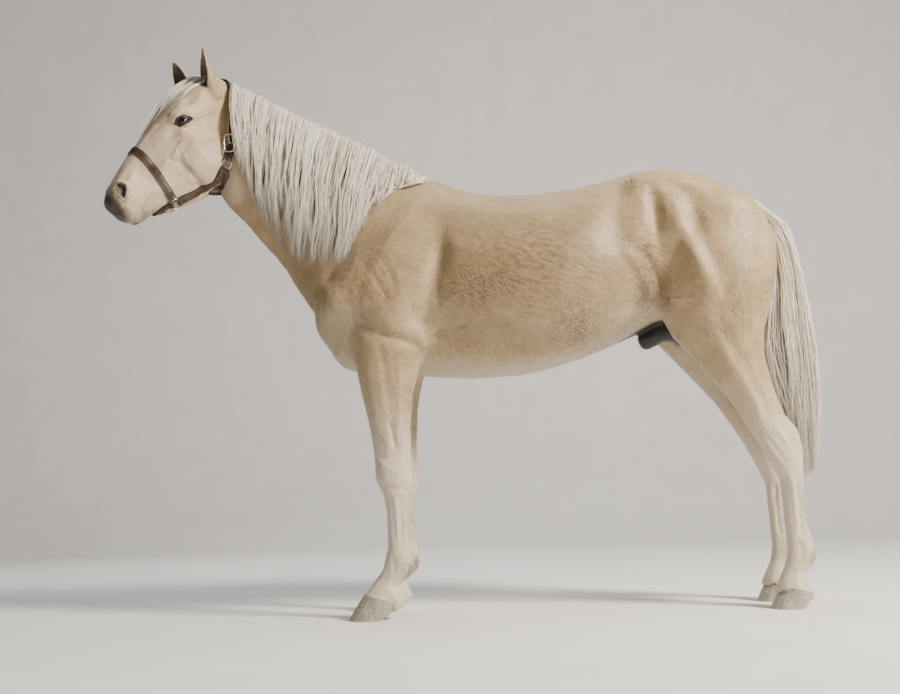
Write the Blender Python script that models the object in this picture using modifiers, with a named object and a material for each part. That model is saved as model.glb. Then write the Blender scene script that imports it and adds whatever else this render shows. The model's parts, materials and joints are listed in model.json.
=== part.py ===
"""A stallion standing square with its head turned a little to its left, as a still, life-size model.

Metres, +Z up. The floor is Z = 0, the head points to -X and the animal's left side is -Y.
The flesh is modelled whole from lofts and mounds, then parted with thin cuts into named pieces.
"""
import math

import bmesh
import bpy
import numpy as np
from mathutils import Matrix, Vector
from mathutils.bvhtree import BVHTree

# ---------------------------------------------------------------- driving sizes
HEAD_YAW = math.radians(34.0)  # how far the head is turned to the left
POLL = Vector((-0.868, -0.085, 0.0))  # where the head's own frame stands on the floor plan
POLL_TOP = 1.885  # height of the head's datum, just over the poll
FACE_SLOPE = math.radians(52.0)  # the face's long axis below the horizontal
LEG_HALF_GAP = 0.125  # from the middle plane to each hoof's middle
KNEE_HALF_GAP = 0.130  # and to the middle of each knee and hock
FORE_STAGGER = 0.012  # the right fore stands this much behind the left
HIND_STAGGER = 0.020  # and the right hind this much behind the left
VOXEL = 0.009  # grain of the whole body before it is thinned
CUT = 0.0006  # width of the saw cuts that part the body
FIT = 0.0006  # clearance of a worn or set-in piece
HOOF_GAP = 0.0010  # the flesh's clearance round each hoof
FLESH_TRIANGLES = 3250  # of the whole body, before it is parted
SIDES = 28  # corners of a plain slice
EYE_RADIUS = 0.0205
EYE_PLACE = (0.234, -0.027, 0.0835)  # down the face, out of the face, and to each side
STRAP = 0.004  # thickness of the halter's leather
CLEAR = 0.003  # how far straps stand off the facets of the flesh
SUNK = 0.004  # how deep hair is rooted before the flesh is cut out of it

MATERIALS = {
    "coat": ((0.55, 0.41, 0.24), 0.7, 0.0),
    "hair": ((0.78, 0.73, 0.62), 0.55, 0.0),
    "dark_skin": ((0.07, 0.06, 0.055), 0.6, 0.0),
    "eye": ((0.02, 0.012, 0.008), 0.12, 0.0),
    "horn": ((0.35, 0.27, 0.19), 0.5, 0.0),
    "leather": ((0.06, 0.035, 0.022), 0.45, 0.0),
    "metal": ((0.65, 0.64, 0.6), 0.3, 1.0),
}


# ---------------------------------------------------------------- small helpers
def clear_scene():
    for item in list(bpy.data.objects):
        bpy.data.objects.remove(item)
    for group in list(bpy.data.collections):
        bpy.data.collections.remove(group)


def new_collection(name):
    group = bpy.data.collections.new(name)
    bpy.context.scene.collection.children.link(group)
    return group


def material(name):
    made = bpy.data.materials.get(name)
    if made is None:
        colour, roughness, metallic = MATERIALS[name]
        made = bpy.data.materials.new(name)
        made.use_nodes = True
        shader = made.node_tree.nodes["Principled BSDF"]
        shader.inputs["Base Color"].default_value = (*colour, 1)
        shader.inputs["Roughness"].default_value = roughness
        shader.inputs["Metallic"].default_value = metallic
    return made


def new_object(name, mesh, group, slot=None):
    made = bpy.data.objects.new(name, mesh)
    group.objects.link(made)
    if slot:
        mesh.materials.clear()
        mesh.materials.append(material(slot))
    return made


def mesh_of(name, bm):
    bmesh.ops.recalc_face_normals(bm, faces=bm.faces)
    mesh = bpy.data.meshes.new(name)
    bm.to_mesh(mesh)
    bm.free()
    return mesh


def baked(thing):
    """The object's mesh with its modifiers applied, and the modifiers gone."""
    graph = bpy.context.evaluated_depsgraph_get()
    mesh = bpy.data.meshes.new_from_object(thing.evaluated_get(graph))
    mesh.transform(thing.matrix_world)
    thing.modifiers.clear()
    thing.data = mesh
    thing.matrix_world = Matrix.Identity(4)
    bpy.context.view_layer.update()
    return thing


def boolean(thing, other, operation):
    step = thing.modifiers.new(operation, "BOOLEAN")
    step.operation = operation
    step.object = other
    step.solver = "EXACT"
    bpy.context.view_layer.update()
    return baked(thing)


def drop_crumbs(thing):
    """Removes the small loose bits that a cut leaves, and keeps the largest body."""
    bm = bmesh.new()
    bm.from_mesh(thing.data)
    waiting = set(bm.verts)
    bodies = []
    while waiting:
        found = {waiting.pop()}
        edge = list(found)
        while edge:
            near = {e.other_vert(v) for v in edge for e in v.link_edges} - found
            found |= near
            edge = list(near)
        waiting -= found
        bodies.append(found)
    largest = max(bodies, key=len)
    crumbs = [v for body in bodies if body is not largest for v in body]
    bmesh.ops.delete(bm, geom=crumbs, context="VERTS")
    bm.to_mesh(thing.data)
    bm.free()


def discard(*things):
    for thing in things:
        bpy.data.objects.remove(thing)


# ---------------------------------------------------------------- frames
def head_point(s, z, left=0.0):
    """A point of the head's upright frame: s back from the poll, z height, left towards -Y."""
    c, k = math.cos(HEAD_YAW), math.sin(HEAD_YAW)
    return Vector((POLL.x + s * c + left * k, POLL.y + s * k - left * c, z))


def face_sz(t, n):
    """t runs down the face from the poll, n is out of the face; gives (s, z) of the upright frame."""
    c, k = math.cos(FACE_SLOPE), math.sin(FACE_SLOPE)
    return -c * t - k * n, POLL_TOP - k * t + c * n


def face_point(t, n, left=0.0):
    s, z = face_sz(t, n)
    return head_point(s, z, left)


FACE_DOWN = (face_point(1, 0) - face_point(0, 0)).normalized()
FACE_OUT = (face_point(0, 1) - face_point(0, 0)).normalized()
HEAD_LEFT = (head_point(0, 0, 1) - head_point(0, 0, 0)).normalized()


def face_matrix(t, n, left=0.0, turn=0.0):
    """Axes for a piece on the head: X down the face, Y out to its right, Z out of the face."""
    axes = Matrix((FACE_DOWN, -HEAD_LEFT, FACE_OUT)).transposed()
    return Matrix.Translation(face_point(t, n, left)) @ axes.to_4x4() @ Matrix.Rotation(turn, 4, "Y")


# ---------------------------------------------------------------- sections and lofts
class Section:
    """An oval slice through the body: `top` and `low` are its two outline points, `wide` its half width.

    `belly` is where along low-top it is widest, `full` the squareness of its upper and lower halves.
    """

    def __init__(self, top, low, wide, belly, full, across):
        shape = (wide, belly, 0), (*full, 0)
        self.values = [Vector(row) for row in (top, low, across, *shape)]


def side_section(top, low, wide, y=0.0, belly=0.5, full=(2.0, 2.0), turn=0.0):
    """A slice between two outline points (x, z) of the side view, y off the middle, turned in degrees."""
    turn = math.radians(turn)
    across = Vector((-math.sin(turn), math.cos(turn), 0))
    middle = (top[0] + low[0]) / 2
    points = []
    for x, z in (top, low):
        away = x - middle
        points.append((middle + away * math.cos(turn), y + away * math.sin(turn), z))
    return Section(*points, wide, belly, full, across)


def face_section(t, top, low, wide, belly=0.5, full=(2.0, 2.0)):
    return Section(face_point(t, top), face_point(t, low), wide, belly, full, -HEAD_LEFT)


def spline(p0, p1, p2, p3, t):
    """Catmull-Rom between p1 and p2."""
    squared = (2 * p0 - 5 * p1 + 4 * p2 - p3) * t**2
    cubed = (3 * p1 - p0 - 3 * p2 + p3) * t**3
    return 0.5 * (2 * p1 + (p2 - p0) * t + squared + cubed)


def ring_points(values, sides):
    top, low, across, (wide, belly, _), (full_up, full_down, _) = values
    across = across.normalized()
    span = top - low
    centre = low + span * belly
    ring = []
    for i in range(sides):
        angle = 2 * math.pi * i / sides
        c, k = math.cos(angle), math.sin(angle)
        power = 2 / (full_up if k > 0 else full_down)
        reach = (1 - belly) if k > 0 else belly
        out = math.copysign(abs(c) ** power, c) * wide
        up = math.copysign(abs(k) ** power, k) * reach
        ring.append(centre + across * out + span * up)
    return ring


def loft(name, sections, group, sides=SIDES, steps=5):
    """A closed tube through the sections."""
    bm = bmesh.new()
    data = [s.values for s in sections]
    data = [data[0], *data, data[-1]]
    rings = []
    for i in range(1, len(data) - 2):
        for j in range(steps + (i == len(data) - 3)):
            values = [spline(*(data[i + k][v] for k in (-1, 0, 1, 2)), j / steps) for v in range(5)]
            rings.append([bm.verts.new(p) for p in ring_points(values, sides)])
    for a, b in zip(rings, rings[1:]):
        for i in range(sides):
            bm.faces.new((a[i], a[(i + 1) % sides], b[(i + 1) % sides], b[i]))
    bm.faces.new(rings[0][::-1])
    bm.faces.new(rings[-1])
    return new_object(name, mesh_of(name, bm), group)


def mound(name, matrix, radii, group):
    """A muscle or bone bump: an ellipsoid."""
    bm = bmesh.new()
    bmesh.ops.create_uvsphere(bm, u_segments=24, v_segments=16, radius=1.0)
    bmesh.ops.transform(bm, matrix=matrix @ Matrix.Diagonal((*radii, 1)), verts=bm.verts)
    return new_object(name, mesh_of(name, bm), group)


def body_mound(name, centre, radii, group, pitch):
    """An ellipsoid on the body; pitch turns its long axis about Y, in degrees."""
    turned = Matrix.Rotation(math.radians(pitch), 4, "Y")
    return mound(name, Matrix.Translation(centre) @ turned, radii, group)


# ---------------------------------------------------------------- the flesh
def trunk(group):
    stations = [
        side_section((-0.478, 1.085), (-0.500, 0.985), 0.085),
        side_section((-0.440, 1.220), (-0.462, 0.912), 0.155, belly=0.5),
        side_section((-0.350, 1.370), (-0.385, 0.862), 0.195, belly=0.42),
        side_section((-0.230, 1.475), (-0.260, 0.832), 0.205, belly=0.42, full=(1.8, 2.1)),
        side_section((-0.110, 1.522), (-0.125, 0.812), 0.220, belly=0.42, full=(1.65, 2.1)),
        side_section((0.000, 1.483), (0.000, 0.802), 0.250, belly=0.46, full=(1.8, 2.1)),
        side_section((0.120, 1.452), (0.120, 0.803), 0.280, belly=0.47, full=(2.0, 2.1)),
        side_section((0.250, 1.446), (0.250, 0.815), 0.300, belly=0.47, full=(2.1, 2.1)),
        side_section((0.380, 1.458), (0.380, 0.850), 0.300, belly=0.47, full=(2.1, 2.1)),
        side_section((0.500, 1.480), (0.500, 0.892), 0.280, belly=0.50, full=(2.2, 2.0)),
        side_section((0.600, 1.505), (0.600, 0.930), 0.258, belly=0.56, full=(2.3, 2.0)),
        side_section((0.700, 1.524), (0.700, 0.970), 0.258, belly=0.58, full=(2.1, 2.0)),
        side_section((0.800, 1.514), (0.800, 0.985), 0.262, belly=0.56, full=(2.0, 2.0)),
        side_section((0.900, 1.478), (0.900, 1.000), 0.250, belly=0.56, full=(2.0, 2.0)),
        side_section((0.990, 1.425), (0.995, 1.020), 0.200, belly=0.56),
        side_section((1.050, 1.365), (1.050, 1.090), 0.130),
        side_section((1.080, 1.290), (1.080, 1.180), 0.060),
    ]
    return loft("trunk_form", stations, group, sides=36)


def neck(group):
    stations = [
        side_section((-0.060, 1.475), (-0.400, 0.960), 0.150),
        side_section((-0.165, 1.540), (-0.518, 1.040), 0.160, belly=0.42, full=(1.7, 2.1)),
        side_section((-0.280, 1.612), (-0.563, 1.118), 0.140, belly=0.42, full=(1.6, 2.1)),
        side_section((-0.400, 1.680), (-0.622, 1.222), 0.113, y=-0.008, belly=0.45, full=(1.6, 2.2)),
        side_section((-0.525, 1.736), (-0.690, 1.300), 0.095, y=-0.022, belly=0.47, full=(1.6, 2.2)),
        side_section((-0.645, 1.797), (-0.752, 1.378), 0.083, y=-0.042, belly=0.48, full=(1.6, 2.2), turn=8),
        side_section((-0.765, 1.856), (-0.806, 1.436), 0.076, y=-0.064, belly=0.5, full=(1.7, 2.2), turn=18),
        Section(head_point(0.035, 1.880), head_point(0.030, 1.500), 0.070, 0.5, (1.8, 2.2), -HEAD_LEFT),
    ]
    return loft("neck_form", stations, group)


def leg_slicer(side, shift):
    """Makes slices of one leg: side is -1 for the animal's left, and shift moves the leg back."""

    def slice_at(front, back, wide, out=0.0, belly=0.5, full=(2.0, 2.0)):
        ends = [(x + shift, z) for x, z in (front, back)]
        return side_section(*ends, wide, side * (KNEE_HALF_GAP + out), belly, full)

    return slice_at


def fore_leg(side, shift, group):
    slice_at = leg_slicer(side, shift)
    hoof = LEG_HALF_GAP - KNEE_HALF_GAP
    stations = [
        slice_at((-0.385, 1.140), (-0.130, 1.120), 0.060, -0.010),
        slice_at((-0.392, 1.020), (-0.100, 0.990), 0.078, 0.005),
        slice_at((-0.378, 0.920), (-0.108, 0.905), 0.084, 0.010),
        slice_at((-0.358, 0.830), (-0.142, 0.835), 0.074, 0.010, belly=0.55),
        slice_at((-0.340, 0.740), (-0.168, 0.740), 0.061, 0.006, belly=0.55),
        slice_at((-0.322, 0.650), (-0.177, 0.650), 0.051, 0.002, belly=0.55),
        slice_at((-0.308, 0.560), (-0.178, 0.560), 0.044),
        slice_at((-0.303, 0.500), (-0.176, 0.495), 0.048, full=(2.6, 2.0)),
        slice_at((-0.296, 0.450), (-0.178, 0.445), 0.047, full=(2.6, 2.0)),
        slice_at((-0.276, 0.400), (-0.188, 0.390), 0.036, full=(2.3, 2.0)),
        slice_at((-0.268, 0.320), (-0.191, 0.320), 0.029),
        slice_at((-0.267, 0.245), (-0.188, 0.245), 0.030),
        slice_at((-0.276, 0.200), (-0.180, 0.195), 0.038, hoof / 2),
        slice_at((-0.285, 0.165), (-0.184, 0.155), 0.038, hoof / 2),
        slice_at((-0.310, 0.130), (-0.222, 0.108), 0.036, hoof),
        slice_at((-0.336, 0.098), (-0.208, 0.062), 0.050, hoof, full=(2.2, 2.2)),
        slice_at((-0.350, 0.074), (-0.214, 0.040), 0.056, hoof, full=(2.2, 2.2)),
        slice_at((-0.356, 0.050), (-0.230, 0.030), 0.050, hoof, full=(2.2, 2.2)),
    ]
    return loft(f"fore_form_{side}", stations, group, sides=24)


def hind_leg(side, shift, group):
    slice_at = leg_slicer(side, shift)
    hoof = LEG_HALF_GAP - KNEE_HALF_GAP
    stations = [
        slice_at((0.700, 1.400), (0.980, 1.380), 0.090, -0.010),
        slice_at((0.660, 1.280), (1.070, 1.265), 0.122, 0.012, full=(2.0, 2.3)),
        slice_at((0.655, 1.150), (1.076, 1.150), 0.132, 0.030, full=(2.0, 2.3)),
        slice_at((0.665, 1.030), (1.050, 1.030), 0.125, 0.036, full=(2.0, 2.2)),
        slice_at((0.695, 0.930), (1.024, 0.935), 0.108, 0.032, belly=0.55),
        slice_at((0.760, 0.850), (1.018, 0.865), 0.086, 0.022, belly=0.55),
        slice_at((0.830, 0.770), (1.028, 0.800), 0.070, 0.014, belly=0.58),
        slice_at((0.895, 0.690), (1.050, 0.720), 0.055, 0.006, belly=0.60),
        slice_at((0.945, 0.610), (1.082, 0.640), 0.044, belly=0.65),
        slice_at((0.978, 0.555), (1.118, 0.588), 0.042, belly=0.68),
        slice_at((1.000, 0.515), (1.132, 0.545), 0.046, belly=0.66, full=(2.2, 1.9)),
        slice_at((1.022, 0.470), (1.133, 0.480), 0.047, belly=0.6, full=(2.3, 2.0)),
        slice_at((1.046, 0.420), (1.129, 0.420), 0.038, full=(2.2, 2.0)),
        slice_at((1.052, 0.340), (1.129, 0.340), 0.029),
        slice_at((1.054, 0.260), (1.136, 0.260), 0.029),
        slice_at((1.058, 0.210), (1.152, 0.205), 0.037, hoof / 2),
        slice_at((1.056, 0.170), (1.150, 0.160), 0.038, hoof / 2),
        slice_at((1.044, 0.130), (1.120, 0.110), 0.035, hoof),
        slice_at((1.026, 0.092), (1.132, 0.062), 0.048, hoof, full=(2.2, 2.2)),
        slice_at((1.016, 0.070), (1.136, 0.036), 0.053, hoof, full=(2.2, 2.2)),
        slice_at((1.010, 0.050), (1.120, 0.026), 0.046, hoof, full=(2.2, 2.2)),
    ]
    return loft(f"hind_form_{side}", stations, group, sides=24)


def bones(group):
    """Lumps of bone and muscle that stand out of the plain lofts on both sides of the body."""
    made = []
    for side in (-1, 1):
        rows = [
            ("elbow", (-0.140, side * 0.155, 0.925), (0.050, 0.040, 0.050), 0),
            ("shoulder_point", (-0.405, side * 0.120, 1.060), (0.085, 0.075, 0.095), 0),
            ("breast_low", (-0.385, side * 0.070, 0.905), (0.070, 0.060, 0.060), 30),
            ("haunch", (0.900, side * 0.165, 1.230), (0.165, 0.105, 0.190), 0),
            ("stifle", (0.730, side * 0.180, 1.020), (0.075, 0.075, 0.110), -20),
        ]
        for name, centre, radii, pitch in rows:
            made.append(body_mound(f"{name}_{side}", centre, radii, group, pitch))
    return made


# Soft swells and hollows of the trunk: centre x, |y|, z; radii along x, y, z; pitch in degrees; height.
SWELLS = {
    "shoulder_blade": ((-0.215, 0.200, 1.270), (0.085, 0.15, 0.190), 28, 0.016),
    "blade_front_groove": ((-0.375, 0.150, 1.290), (0.030, 0.15, 0.170), 28, -0.008),
    "blade_rear_groove": ((-0.070, 0.220, 1.180), (0.040, 0.15, 0.160), 4, -0.009),
    "withers_hollow": ((-0.020, 0.120, 1.440), (0.110, 0.10, 0.050), 0, -0.008),
    "arm_muscle": ((-0.235, 0.230, 1.030), (0.105, 0.12, 0.080), 0, 0.020),
    "arm_crease": ((-0.250, 0.210, 0.930), (0.090, 0.10, 0.022), 18, -0.010),
    "breast": ((-0.470, 0.085, 1.000), (0.080, 0.06, 0.090), 0, 0.014),
    "breast_groove": ((-0.500, 0.000, 0.980), (0.100, 0.022, 0.120), 0, -0.022),
    "rib_spring": ((0.200, 0.300, 1.080), (0.240, 0.15, 0.170), 0, 0.008),
    "flank_hollow": ((0.520, 0.270, 1.250), (0.055, 0.15, 0.085), 0, -0.013),
    "flank_fold": ((0.632, 0.230, 1.050), (0.024, 0.15, 0.070), 15, 0.010),
    "hip_point": ((0.592, 0.225, 1.425), (0.036, 0.08, 0.040), 0, 0.013),
    "behind_hip_groove": ((0.655, 0.250, 1.330), (0.022, 0.15, 0.110), -4, -0.012),
    "thigh_ridge": ((0.770, 0.260, 1.180), (0.036, 0.15, 0.170), -20, 0.010),
    "thigh_hollow": ((0.800, 0.260, 1.290), (0.026, 0.15, 0.060), -20, -0.010),
    "rump_muscle": ((0.900, 0.220, 1.360), (0.110, 0.12, 0.070), 20, 0.010),
    "seat_groove": ((1.000, 0.200, 1.150), (0.026, 0.15, 0.190), 4, -0.008),
    "croup_furrow": ((0.800, 0.000, 1.520), (0.160, 0.018, 0.080), 10, -0.008),
    "stifle_groove": ((0.845, 0.250, 0.960), (0.022, 0.15, 0.090), -20, -0.009),
}


def swell_skin(body):
    """Moves the skin along its own direction, most at each swell's centre and fading smoothly outwards."""
    count = len(body.data.vertices)
    points = np.empty(count * 3, np.float32)
    normals = np.empty(count * 3, np.float32)
    body.data.vertices.foreach_get("co", points)
    body.data.vertex_normals.foreach_get("vector", normals)
    points = points.reshape(-1, 3)
    lift = np.zeros(count)
    for centre, radii, pitch, height in SWELLS.values():
        turn = np.array(Matrix.Rotation(math.radians(pitch), 3, "Y"))
        for side in (1, -1) if centre[1] else (1,):
            away = (points - np.array((centre[0], side * centre[1], centre[2]))) @ turn / np.array(radii)
            lift += height * np.exp(-(away**2).sum(axis=1))
    points += normals.reshape(-1, 3) * lift[:, None].astype(np.float32)
    body.data.vertices.foreach_set("co", points.ravel())
    body.data.update()


def dock(group):
    """The fleshy root of the tail."""
    stations = [
        side_section((0.985, 1.440), (0.960, 1.370), 0.045),
        side_section((1.040, 1.420), (1.010, 1.350), 0.040),
        side_section((1.090, 1.385), (1.050, 1.325), 0.034),
        side_section((1.125, 1.330), (1.080, 1.290), 0.028),
    ]
    return loft("dock_form", stations, group, sides=16)


def head(group):
    stations = [
        face_section(-0.020, -0.010, -0.110, 0.045),
        face_section(0.010, 0.014, -0.140, 0.058, belly=0.62),
        face_section(0.060, 0.033, -0.165, 0.074, belly=0.66, full=(2.2, 2.1)),
        face_section(0.120, 0.045, -0.185, 0.086, belly=0.70, full=(2.4, 2.0)),
        face_section(0.190, 0.049, -0.222, 0.094, belly=0.73, full=(2.6, 2.0)),
        face_section(0.260, 0.043, -0.256, 0.087, belly=0.71, full=(2.5, 2.1)),
        face_section(0.330, 0.035, -0.264, 0.073, belly=0.67, full=(2.3, 2.2)),
        face_section(0.400, 0.031, -0.240, 0.059, belly=0.62, full=(2.2, 2.2)),
        face_section(0.460, 0.026, -0.206, 0.051, belly=0.60, full=(2.2, 2.2)),
        face_section(0.520, 0.014, -0.164, 0.050, belly=0.60, full=(2.2, 2.2)),
        face_section(0.570, 0.006, -0.146, 0.052, belly=0.58, full=(2.2, 2.1)),
        face_section(0.598, -0.012, -0.130, 0.045, belly=0.55),
        face_section(0.616, -0.034, -0.108, 0.029),
    ]
    made = [loft("head_form", stations, group)]
    rows = [
        ("muzzle", (0.582, -0.050, 0.0), (0.042, 0.052, 0.050), 0),
        ("chin", (0.572, -0.124, 0.0), (0.036, 0.030, 0.026), 0),
    ]
    for side in (-1, 1):
        rows += [
            ("jowl", (0.262, -0.160, side * 0.050), (0.112, 0.040, 0.096), -16),
            ("cheek", (0.235, -0.110, side * 0.058), (0.090, 0.036, 0.080), -10),
            ("brow", (0.226, 0.003, side * 0.080), (0.046, 0.024, 0.026), 6),
            ("orbit_low", (0.262, -0.052, side * 0.074), (0.045, 0.022, 0.020), 0),
            ("temple", (0.120, -0.010, side * 0.066), (0.070, 0.022, 0.034), -10),
            ("cheekbone", (0.345, -0.080, side * 0.056), (0.085, 0.019, 0.016), -8),
            ("nostril_rim", (0.558, -0.022, side * 0.038), (0.036, 0.020, 0.026), 20),
        ]
    for name, (t, n, left), radii, turn in rows:
        side = math.copysign(1, left) if left else 0
        made.append(mound(f"{name}_{side:.0f}", face_matrix(t, n, left, math.radians(turn)), radii, group))
    return made


def weigh(body, name, rule):
    """A vertex group whose weights come from a rule of the point."""
    group = body.vertex_groups.new(name=name)
    for vertex in body.data.vertices:
        group.add([vertex.index], rule(vertex.co), "REPLACE")


def ramp(value, low, high):
    return max(0.0, min(1.0, (value - low) / (high - low)))


def bulk(point):
    """1 on the neck and trunk, falling to 0 on the head and the lower legs."""
    return ramp(point.x, -0.80, -0.70) * ramp(point.z, 0.70, 0.95)


def plainness(point):
    """1 where large triangles serve, less on the head and feet."""
    return 1 - 0.9 * max(ramp(-point.x, 0.76, 0.84), 0.5 * ramp(-point.z, -0.60, -0.30))


def soften(body, iterations, group=""):
    melt = body.modifiers.new("melt", "SMOOTH")
    melt.factor = 0.5
    melt.iterations = iterations
    melt.vertex_group = group


def thinned_body(group):
    """All the flesh joined, made one skin, softened and thinned, finest on the head and lower legs."""
    forms = [trunk(group), neck(group), dock(group), *bones(group), *head(group)]
    for side in (-1, 1):
        forms.append(fore_leg(side, FORE_STAGGER * (side > 0), group))
        forms.append(hind_leg(side, HIND_STAGGER * (side > 0), group))
    bm = bmesh.new()
    for form in forms:
        bm.from_mesh(form.data)
    body = new_object("body", mesh_of("body", bm), group)
    discard(*forms)
    shell = body.modifiers.new("shell", "REMESH")
    shell.mode = "VOXEL"
    shell.voxel_size = VOXEL
    shell.adaptivity = 0
    baked(body)
    weigh(body, "bulk", bulk)
    soften(body, 5)
    soften(body, 40, "bulk")
    baked(body)
    swell_skin(body)
    body.vertex_groups.clear()
    weigh(body, "plainness", plainness)
    thin = body.modifiers.new("thin", "DECIMATE")
    thin.ratio = FLESH_TRIANGLES / (2 * len(body.data.polygons))
    thin.vertex_group = "plainness"
    thin.vertex_group_factor = 0.0004  # enough to hold small triangles on the head and feet
    return baked(body)


# ---------------------------------------------------------------- parting
def block(name, matrix, low, high, group):
    """A box from low to high in the matrix's own axes."""
    bm = bmesh.new()
    bmesh.ops.create_cube(bm, size=1.0)
    size = Vector(high) - Vector(low)
    middle = (Vector(high) + Vector(low)) / 2
    sized = Matrix.Translation(middle) @ Matrix.Diagonal((*size, 1))
    bmesh.ops.transform(bm, matrix=matrix @ sized, verts=bm.verts)
    return new_object(name, mesh_of(name, bm), group)


def grown(thing, amount, group):
    """A copy moved out by amount along its normals."""
    copy = new_object(thing.name + "_grown", thing.data.copy(), group)
    step = copy.modifiers.new("grow", "DISPLACE")
    step.strength = amount
    step.mid_level = 0
    return baked(copy)


def split_off(body, name, region, slot, group):
    """Takes what of the body lies in the region as a piece of its own, a saw cut away from the rest."""
    piece = new_object(name, body.data.copy(), group, slot)
    boolean(piece, region, "INTERSECT")
    wider = grown(region, CUT, group)
    boolean(body, wider, "DIFFERENCE")
    discard(region, wider)
    return piece


def head_region(group):
    yaw = Matrix.Rotation(HEAD_YAW, 4, "Z")
    place = Matrix.Translation((POLL.x, POLL.y, 0)) @ yaw
    return block("head_region", place, (-0.70, -0.30, 1.25), (0.052, 0.30, 2.10), group)


def neck_region(group):
    foot = Vector((-0.520, 0, 1.040))
    rise = (Vector((-0.120, 0, 1.550)) - foot).normalized()
    ahead = Vector((-rise.z, 0, rise.x))
    axes = Matrix((ahead, Vector((0, -1, 0)), rise)).transposed()
    place = Matrix.Translation(foot) @ axes.to_4x4()
    return block("neck_region", place, (0, -0.6, -0.04), (0.9, 0.6, 0.90), group)


LEG_REGIONS = {
    "fore": ((-0.52, -0.105), 0.030, (0.415, 0.865)),
    "hind": ((0.60, 1.25), 0.008, (0.420, 0.900)),
}


def leg_regions(group):
    """Each leg in an upper and a lower length: name and region."""
    for leg, ((back, front), inner, (joint, top)) in LEG_REGIONS.items():
        for side, word in ((-1, "left"), (1, "right")):
            inside, outside = sorted((side * inner, side * 0.45))
            for length, low, high in (("upper", joint, top), ("lower", -0.05, joint)):
                name = f"{leg}_leg_{word}_{length}"
                low_corner, high_corner = (back, inside, low), (front, outside, high)
                yield name, block(name + "_region", Matrix.Identity(4), low_corner, high_corner, group)


# ---------------------------------------------------------------- hooves, eyes and ears
HOOF_SLICES = {
    "fore": (
        ((-0.402, 0.000), (-0.284, 0.000), 0.064),
        ((-0.380, 0.036), (-0.256, 0.024), 0.061),
        ((-0.347, 0.086), (-0.226, 0.054), 0.054),
    ),
    "hind": (
        ((0.993, 0.000), (1.108, 0.000), 0.058),
        ((1.009, 0.034), (1.122, 0.024), 0.055),
        ((1.032, 0.078), (1.138, 0.050), 0.050),
    ),
}


def hoof(leg, side, shift, name, group):
    y = side * LEG_HALF_GAP
    stations = []
    for front, back, wide in HOOF_SLICES[leg]:
        ends = [(x + shift, z) for x, z in (front, back)]
        stations.append(side_section(*ends, wide, y, belly=0.45, full=(2.1, 2.6)))
    made = loft(name, stations, group, sides=18, steps=1)
    made.data.materials.append(material("horn"))
    return made


def eye(side, word, group):
    t, n, left = EYE_PLACE
    bm = bmesh.new()
    bmesh.ops.create_icosphere(bm, subdivisions=2, radius=EYE_RADIUS)
    bmesh.ops.transform(bm, matrix=face_matrix(t, n, -side * left), verts=bm.verts)
    return new_object(f"eye_{word}", mesh_of(f"eye_{word}", bm), group, "eye")


EAR = {
    # s, z and reach to the side, for the left and the right ear
    "root": {-1: (0.006, 1.818, 0.060), 1: (-0.018, 1.822, 0.068)},
    "tip": {-1: (-0.060, 1.952, 0.098), 1: (-0.090, 1.962, 0.106)},
    "width": 0.0345,
    "forward": 0.45,  # the cup's middle ahead of the line from root to tip, in radii
    "turn_in": {-1: -2.0, 1: 20.0},  # how far each opening looks in from straight ahead
    "lean": (0.0, 0.20, 0.45, 0.68, 0.86, 0.96, 1.0),  # where along the ear its slices are
    "spread": (1.0, 1.08, 1.02, 0.82, 0.54, 0.27, 0.09),
    "hollow": (0.20, 0.45, 0.72, 0.74, 0.70, 0.60, 0.40),
    "wrap": 105.0,  # degrees from the cup's back to each of its edges
    "steps": 7,
}


def ear(side, word, group):
    """A pointed cup: crescent slices from a thick root to a thin tip, the tips curling in."""
    root, tip = (head_point(s, z, -side * out) for s, z, out in (EAR["root"][side], EAR["tip"][side]))
    along = (tip - root).normalized()
    ahead = head_point(-1, 0) - head_point(0, 0)
    turn = Matrix.Rotation(side * math.radians(EAR["turn_in"][side]), 3, "Z")
    opening = turn @ ahead
    opening = (opening - along * opening.dot(along)).normalized()
    across = along.cross(opening)
    bm = bmesh.new()
    rings = []
    steps = EAR["steps"]
    for place, spread, hollow in zip(EAR["lean"], EAR["spread"], EAR["hollow"]):
        radius = EAR["width"] * spread
        centre = root.lerp(tip, place) + opening * EAR["forward"] * radius
        ring = []
        for scale, order in ((1.0, range(steps)), (hollow, reversed(range(steps)))):
            for i in order:
                angle = math.radians(EAR["wrap"]) * (2 * i / (steps - 1) - 1)
                spoke = across * math.sin(angle) - opening * 0.9 * math.cos(angle)
                ring.append(centre + spoke * radius * scale)
        rings.append([bm.verts.new(p) for p in ring])
    for a, b in zip(rings, rings[1:]):
        for i in range(2 * steps):
            bm.faces.new((a[i], a[(i + 1) % (2 * steps)], b[(i + 1) % (2 * steps)], b[i]))
    bm.faces.new(rings[0][::-1])
    bm.faces.new(rings[-1])
    return new_object(f"ear_{word}", mesh_of(f"ear_{word}", bm), group, "coat")


# ---------------------------------------------------------------- hair
class Skin:
    """Finds places on the flesh, and which way is out of it."""

    def __init__(self, flesh):
        bm = bmesh.new()
        bm.from_mesh(flesh.data)
        self.tree = BVHTree.FromBMesh(bm)
        bm.free()

    def place(self, point):
        return self.tree.find_nearest(point)[0]

    def normal(self, point):
        return self.tree.find_nearest(point)[1]

    def seen_from(self, start, direction):
        """Where a straight line from start first meets the flesh, or the nearest place to it."""
        spot = self.tree.ray_cast(start, Vector(direction))[0]
        return spot or self.place(Vector(start) + Vector(direction))


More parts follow.
